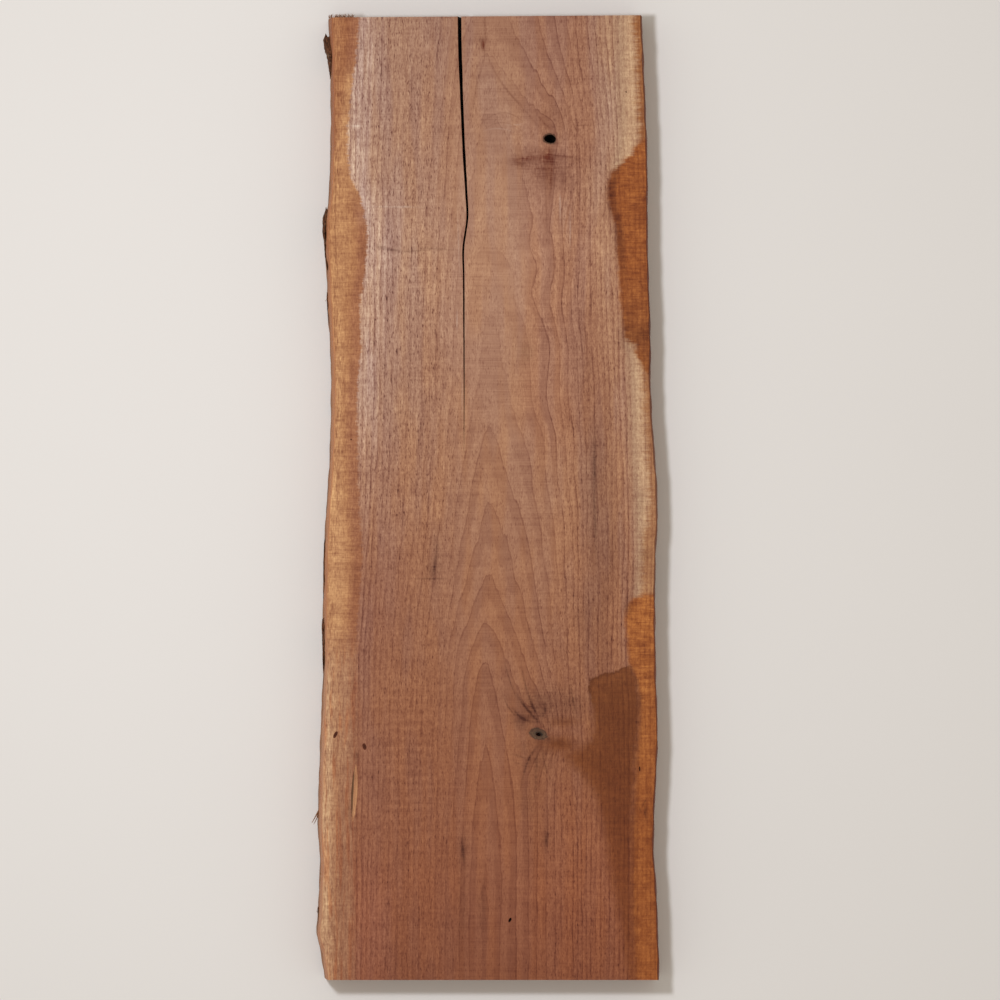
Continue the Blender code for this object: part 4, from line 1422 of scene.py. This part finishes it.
def hole_material(look):
    """The inside of the knot and worm holes and of the crack: reddish brown wood just below the face, and
    deeper down painted shade, near-black with lighter speckles. In the knot hole the dark is partly the
    knot's own dark wood as well.
    """
    material, nodes = new_material("walnut_hole_shade", 0.9, 0.1)
    place = nodes.place_in_mm()
    shade_speckle = nodes.noise(place, 1.2, 1.2, seed=71, detail=3)
    _, _, up = nodes.split(place)
    # Painted shade for the depth of the holes and the crack: near-black, with lighter speckles from the
    # noise.
    colour = nodes.mix(shade_speckle, look.hole_shade_dark, look.hole_shade_light)
    colour = nodes.mix(nodes.smooth(up, THICKNESS - 3, THICKNESS - 0.6), colour, look.hole_rim)
    return finish_material(material, nodes, colour, nodes.times(shade_speckle, 0.5))


def torn_material(look):
    """The torn groove: fresh light fibres, with a dark line down its left side, painted shade of its deep
    left wall.
    """
    material, nodes = new_material("walnut_torn", 0.8, 0.2)
    place = nodes.place_in_mm()
    fibres = nodes.wander(0.8, place, 0.7, 25, seed=81, detail=3)
    x, along, _ = nodes.split(nodes.attribute("fibre", "Vector"))
    groove_x, groove_along = HOLES["torn_groove"][:2]
    turn = math.tan(math.radians(HOLES["torn_groove"][5]))
    across = nodes.add(x, -groove_x, nodes.times(nodes.less(along, groove_along), turn))
    left = nodes.smooth(nodes.add(across, nodes.wander(0.7, place, 2, 12, seed=82)), -0.3, -1.6)
    # The dark line is painted shade where the groove's deep left wall faces away from the key light.
    colour = nodes.mix(nodes.times(left, 0.7), look.torn_light, look.hole_shade_light)
    colour = nodes.shaded(colour, nodes.add(fibres, 1))
    return finish_material(material, nodes, colour, nodes.times(fibres, 0.3))


def bark_material(look):
    """Bark: dark, cracked and dusty, with a browner grain along the trunk."""
    material, nodes = new_material("walnut_bark", 0.9, 0.15)
    place = nodes.place_in_mm()
    grain = nodes.noise(place, 1.4, 9, seed=91, detail=4, rough=0.65)
    colour = nodes.mix(nodes.smooth(grain, 0.35, 0.68), look.bark_dark, look.bark_light)
    dust = nodes.patches(0.55, 0.75, place, 5, 7, seed=92, detail=3)
    colour = nodes.mix(nodes.times(dust, 0.35), colour, srgb(168, 142, 116))
    return finish_material(material, nodes, colour, nodes.times(grain, 1.1))


def bast_material(look):
    """Loose fibres, paler at random along them."""
    material, nodes = new_material("walnut_bast", 0.85, 0.2)
    shade = nodes.noise(nodes.place_in_mm(), 0.8, 2.5, seed=101)
    colour = nodes.mix(nodes.smooth(shade, 0.35, 0.65), look.bast, look.live_edge)
    return finish_material(material, nodes, colour, nodes.times(shade, 0.1))


def floor_material(colour):
    """A plain pale floor whose colour is faintly uneven."""
    material, nodes = new_material("pale_floor", 0.85, 0.2)
    cloud = nodes.noise(nodes.place_in_mm(), 220, 220, seed=111, detail=3)
    darker = tuple(0.985 * part for part in colour)
    return finish_material(material, nodes, nodes.mix(cloud, darker, colour))


# Settings, operators and the panel

def colour_setting(name, description, red, green, blue):
    """A colour of a finish, given as 0 to 255 on a screen."""
    return FloatVectorProperty(name=name, description=description, subtype="COLOR", size=3, min=0, max=1,
                               default=srgb(red, green, blue))


def strength_setting(name, description, default, low=0, high=1):
    """A share or a factor."""
    return FloatProperty(name=name, description=description, default=default, min=low, max=high,
                         subtype="FACTOR")


def size_setting(name, description, default, low, high):
    """A length in metres."""
    return FloatProperty(name=name, description=description, default=default, min=low, max=high,
                         subtype="DISTANCE", unit="LENGTH")


class WalnutLook(bpy.types.PropertyGroup):
    """Colours and strengths of the wood's finishes"""

    # The upper heartwood colours hold some painted sheen besides the wood's own tone.
    heart_top: colour_setting("Heart, top", "Heartwood at the cracked end", 164, 119, 96)
    heart_light: colour_setting("Heart, lightest", "Heartwood above the middle", 179, 133, 106)
    heart_middle: colour_setting("Heart, middle", "Heartwood at the middle of the length", 167, 118, 90)
    heart_low: colour_setting("Heart, low", "Heartwood in the lower third", 154, 100, 72)
    heart_red: colour_setting("Heart, red", "Heartwood above the foot end", 147, 89, 62)
    heart_foot: colour_setting("Heart, foot", "Heartwood at the foot end", 136, 80, 55)
    sap_golden: colour_setting("Sapwood, golden", "Left sapwood over most of the length", 190, 136, 94)
    sap_edge: colour_setting("Sapwood, edge", "Left sapwood beside the live edge", 180, 124, 84)
    sap_inner: colour_setting("Sapwood, inner", "Left sapwood beside the heartwood", 164, 107, 75)
    sap_pale: colour_setting("Sapwood, pale", "Low left sapwood beside the live edge", 194, 148, 112)
    sap_low: colour_setting("Sapwood, low", "Low left sapwood in its middle", 172, 120, 87)
    sap_dull: colour_setting("Sapwood, dull", "Low left sapwood beside the heartwood", 161, 110, 81)
    sap_margin: colour_setting("Sapwood, margin", "Right sapwood beside the heartwood", 180, 142, 113)
    sap_cream: colour_setting("Sapwood, cream", "Right sapwood where it stayed dry", 201, 160, 125)
    damp_orange: colour_setting("Damp, orange", "Damp right sapwood in the lower third", 172, 102, 51)
    damp_low: colour_setting("Damp, brown", "Damp right sapwood at both ends", 160, 90, 43)
    damp_dark: colour_setting("Damp, dark", "Damp right sapwood where it is darkest", 146, 83, 42)
    stain_low: colour_setting("Stain, foot", "The stained heartwood at the foot", 117, 59, 28)
    stain_dark: colour_setting("Stain, dark", "The stained heartwood beside the lower knot", 113, 60, 29)
    live_edge: colour_setting("Live edge", "Bare wood under the bark", 146, 98, 62)
    bast: colour_setting("Bast", "Fibres of the inner bark", 116, 74, 47)
    bark_dark: colour_setting("Bark, dark", "Bark in its cracks", 52, 32, 23)
    bark_light: colour_setting("Bark, light", "Bark on its ridges", 120, 76, 50)
    # The two hole colours below are painted shade for the depths of the holes and the crack, and for the
    # torn groove's left side. The rim colour is the walls' own wood.
    hole_shade_dark: colour_setting("Hole, dark", "Inside of the holes", 16, 11, 8)
    hole_shade_light: colour_setting("Hole, light", "Crumbs inside the holes", 38, 25, 18)
    hole_rim: colour_setting("Hole, rim", "Inside of the holes just below the face", 112, 62, 46)
    torn_light: colour_setting("Torn wood", "Fresh fibres in the torn groove", 190, 134, 95)
    ring_lines: strength_setting("Ring lines", "How dark the ring lines are over the middle", 0.175)
    ring_bands: strength_setting("Ring bands", "How much a ring darkens towards its end", 0.078)
    streaks: strength_setting("Streaks", "How strong the streaks along the grain are", 0.27)
    mottle: strength_setting("Mottle", "How strong the small curls of torn fibres are", 0.17)
    pores: strength_setting("Pores", "How dark the open pores are", 0.5)


class WalnutSlabSettings(bpy.types.PropertyGroup):
    """Sizes of the slab that may change without its outline"""

    rounding: size_setting("Rounding", "Radius of the corners between faces and live edges",
                           0.9 * MM, 0.2 * MM, 3 * MM)
    crack_width: strength_setting("Crack width", "Width of the drying crack, 1 as it is", 1, 0.2, 1.5)


class WalnutFibreSettings(bpy.types.PropertyGroup):
    """Torn fibres on the cracked end and the left edge"""

    end_count: IntProperty(name="End fibres", description="Fibres that stand over the cracked end",
                           default=130, min=1, max=400)
    length: size_setting("Length", "Length of the longest fibre over the cracked end",
                         5.2 * MM, 1 * MM, 9 * MM)
    width: size_setting("Width", "Thickness of a fibre at its root", 0.5 * MM, 0.1 * MM, 1 * MM)


class WalnutStageSettings(bpy.types.PropertyGroup):
    """The floor, the light and the camera's distance"""

    floor: colour_setting("Floor", "Colour of the floor", 236, 231, 227)
    key: FloatProperty(name="Key light", description="Power of the soft light above the top left",
                       default=27, min=0, max=500, unit="POWER")
    key_size: size_setting("Key size", "Side of the key light, which softens its shadow", 0.24, 0.05, 3)
    fill: FloatProperty(name="Fill light", description="Brightness of the even light from all sides",
                        default=0.53, min=0, max=3)
    distance: size_setting("Camera distance", "From the camera to the show face", 7, 1, 30)


class WALNUT_OT_slab(bpy.types.Operator):
    """Builds the slab: faces, live edges, cut ends, the drying crack and the holes"""

    bl_idname = "walnut.slab"
    bl_label = "Slab"

    def execute(self, context):
        look = context.scene.walnut_look
        figure_group()
        mark_group()
        colour_group(look)
        saw_group()
        makers = (sawn_material, live_material, end_material, hole_material, torn_material)
        materials = [make(look) for make in makers]
        shell = slab_shell(context.scene.walnut_slab)
        slab = attach(shell.build("walnut_slab", materials, wood_attributes))
        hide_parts("slab")
        return {"FINISHED"}


class WALNUT_OT_bark(bpy.types.Operator):
    """Builds the scraps and films of bark on the left edge"""

    bl_idname = "walnut.bark"
    bl_label = "Bark scraps"

    def execute(self, context):
        material = bark_material(context.scene.walnut_look)
        for number, (name, scrap) in enumerate({**BARK_SCRAPS, **BARK_FILMS}.items()):
            attach(bark_shell(scrap, BARK_SEED + 10 * number).build(name, [material]))
        return {"FINISHED"}


class WALNUT_OT_fibres(bpy.types.Operator):
    """Builds the torn fibres over the cracked end and the strands on the left edge"""

    bl_idname = "walnut.fibres"
    bl_label = "Torn fibres"

    def execute(self, context):
        settings = context.scene.walnut_fibres
        material = bast_material(context.scene.walnut_look)
        attach(end_fibres(settings).build("end_fibres", [material]))
        attach(edge_strands(settings).build("edge_strands", [material]))
        return {"FINISHED"}


class WALNUT_OT_stage(bpy.types.Operator):
    """Builds the floor, the light and the camera"""

    bl_idname = "walnut.stage"
    bl_label = "Stage"

    def execute(self, context):
        settings = context.scene.walnut_stage
        shell = Shell()
        reach = [-FLOOR_REACH, FLOOR_REACH]
        x, y = np.meshgrid(reach, reach)
        shell.add_grid(shell.add_points(np.stack([x, y, np.full(x.shape, -FLOOR_GAP)], axis=-1)))
        floor = shell.build("floor", [floor_material(tuple(settings.floor))])

        aim = np.array([*AIM, THICKNESS]) * MM
        lamp = bpy.data.lights.new("key", "AREA")
        lamp.energy = settings.key
        lamp.size = settings.key_size
        lamp.color = KEY_COLOUR
        key = bpy.data.objects.new("key", lamp)
        key.location = aim + np.array(KEY_PLACE)
        direction = key.location - Vector(aim)
        key.rotation_euler = direction.to_track_quat("Z", "Y").to_euler()
        context.scene.collection.objects.link(key)

        world = bpy.data.worlds.new("studio")
        world.use_nodes = True
        background = world.node_tree.nodes["Background"]
        background.inputs["Color"].default_value = FILL_COLOUR
        background.inputs["Strength"].default_value = settings.fill
        context.scene.world = world
        context.scene.view_settings.view_transform = "Standard"

        camera = bpy.data.objects.new("camera", bpy.data.cameras.new("camera"))
        camera.location = aim + np.array([0, 0, settings.distance])
        camera.data.lens = camera.data.sensor_width * settings.distance / (SEEN_WIDTH * MM)
        camera.data.clip_end = 100
        context.scene.collection.objects.link(camera)
        context.scene.camera = camera
        return {"FINISHED"}


STEPS = (WALNUT_OT_slab, WALNUT_OT_bark, WALNUT_OT_fibres, WALNUT_OT_stage)
SETTINGS = {
    "walnut_look": WalnutLook,
    "walnut_slab": WalnutSlabSettings,
    "walnut_fibres": WalnutFibreSettings,
    "walnut_stage": WalnutStageSettings,
}


class VIEW3D_PT_walnut_slab(bpy.types.Panel):
    """Lists the steps that build the slab and their settings"""

    bl_label = "Walnut Slab"
    bl_space_type = "VIEW_3D"
    bl_region_type = "UI"
    bl_category = "Walnut Slab"

    def draw(self, context):
        for step in STEPS:
            self.layout.operator(step.bl_idname)
        for name, group in SETTINGS.items():
            box = self.layout.box()
            for label in group.__annotations__:
                box.prop(getattr(context.scene, name), label)


def register():
    """Adds the settings, the operators and the panel to Blender."""
    for group in SETTINGS.values():
        bpy.utils.register_class(group)
    for name, group in SETTINGS.items():
        setattr(bpy.types.Scene, name, PointerProperty(type=group))
    for step in STEPS:
        bpy.utils.register_class(step)
    bpy.utils.register_class(VIEW3D_PT_walnut_slab)


def unregister():
    """Takes them away again, the last one first."""
    bpy.utils.unregister_class(VIEW3D_PT_walnut_slab)
    for step in reversed(STEPS):
        bpy.utils.unregister_class(step)
    for name, group in SETTINGS.items():
        delattr(bpy.types.Scene, name)
        bpy.utils.unregister_class(group)


def main():
    """Registers the settings, the operators and the panel, and runs every step."""
    register()
    bpy.ops.walnut.slab()
    bpy.ops.walnut.bark()
    bpy.ops.walnut.fibres()
    bpy.ops.walnut.stage()


if __name__ == "__main__":
    main()
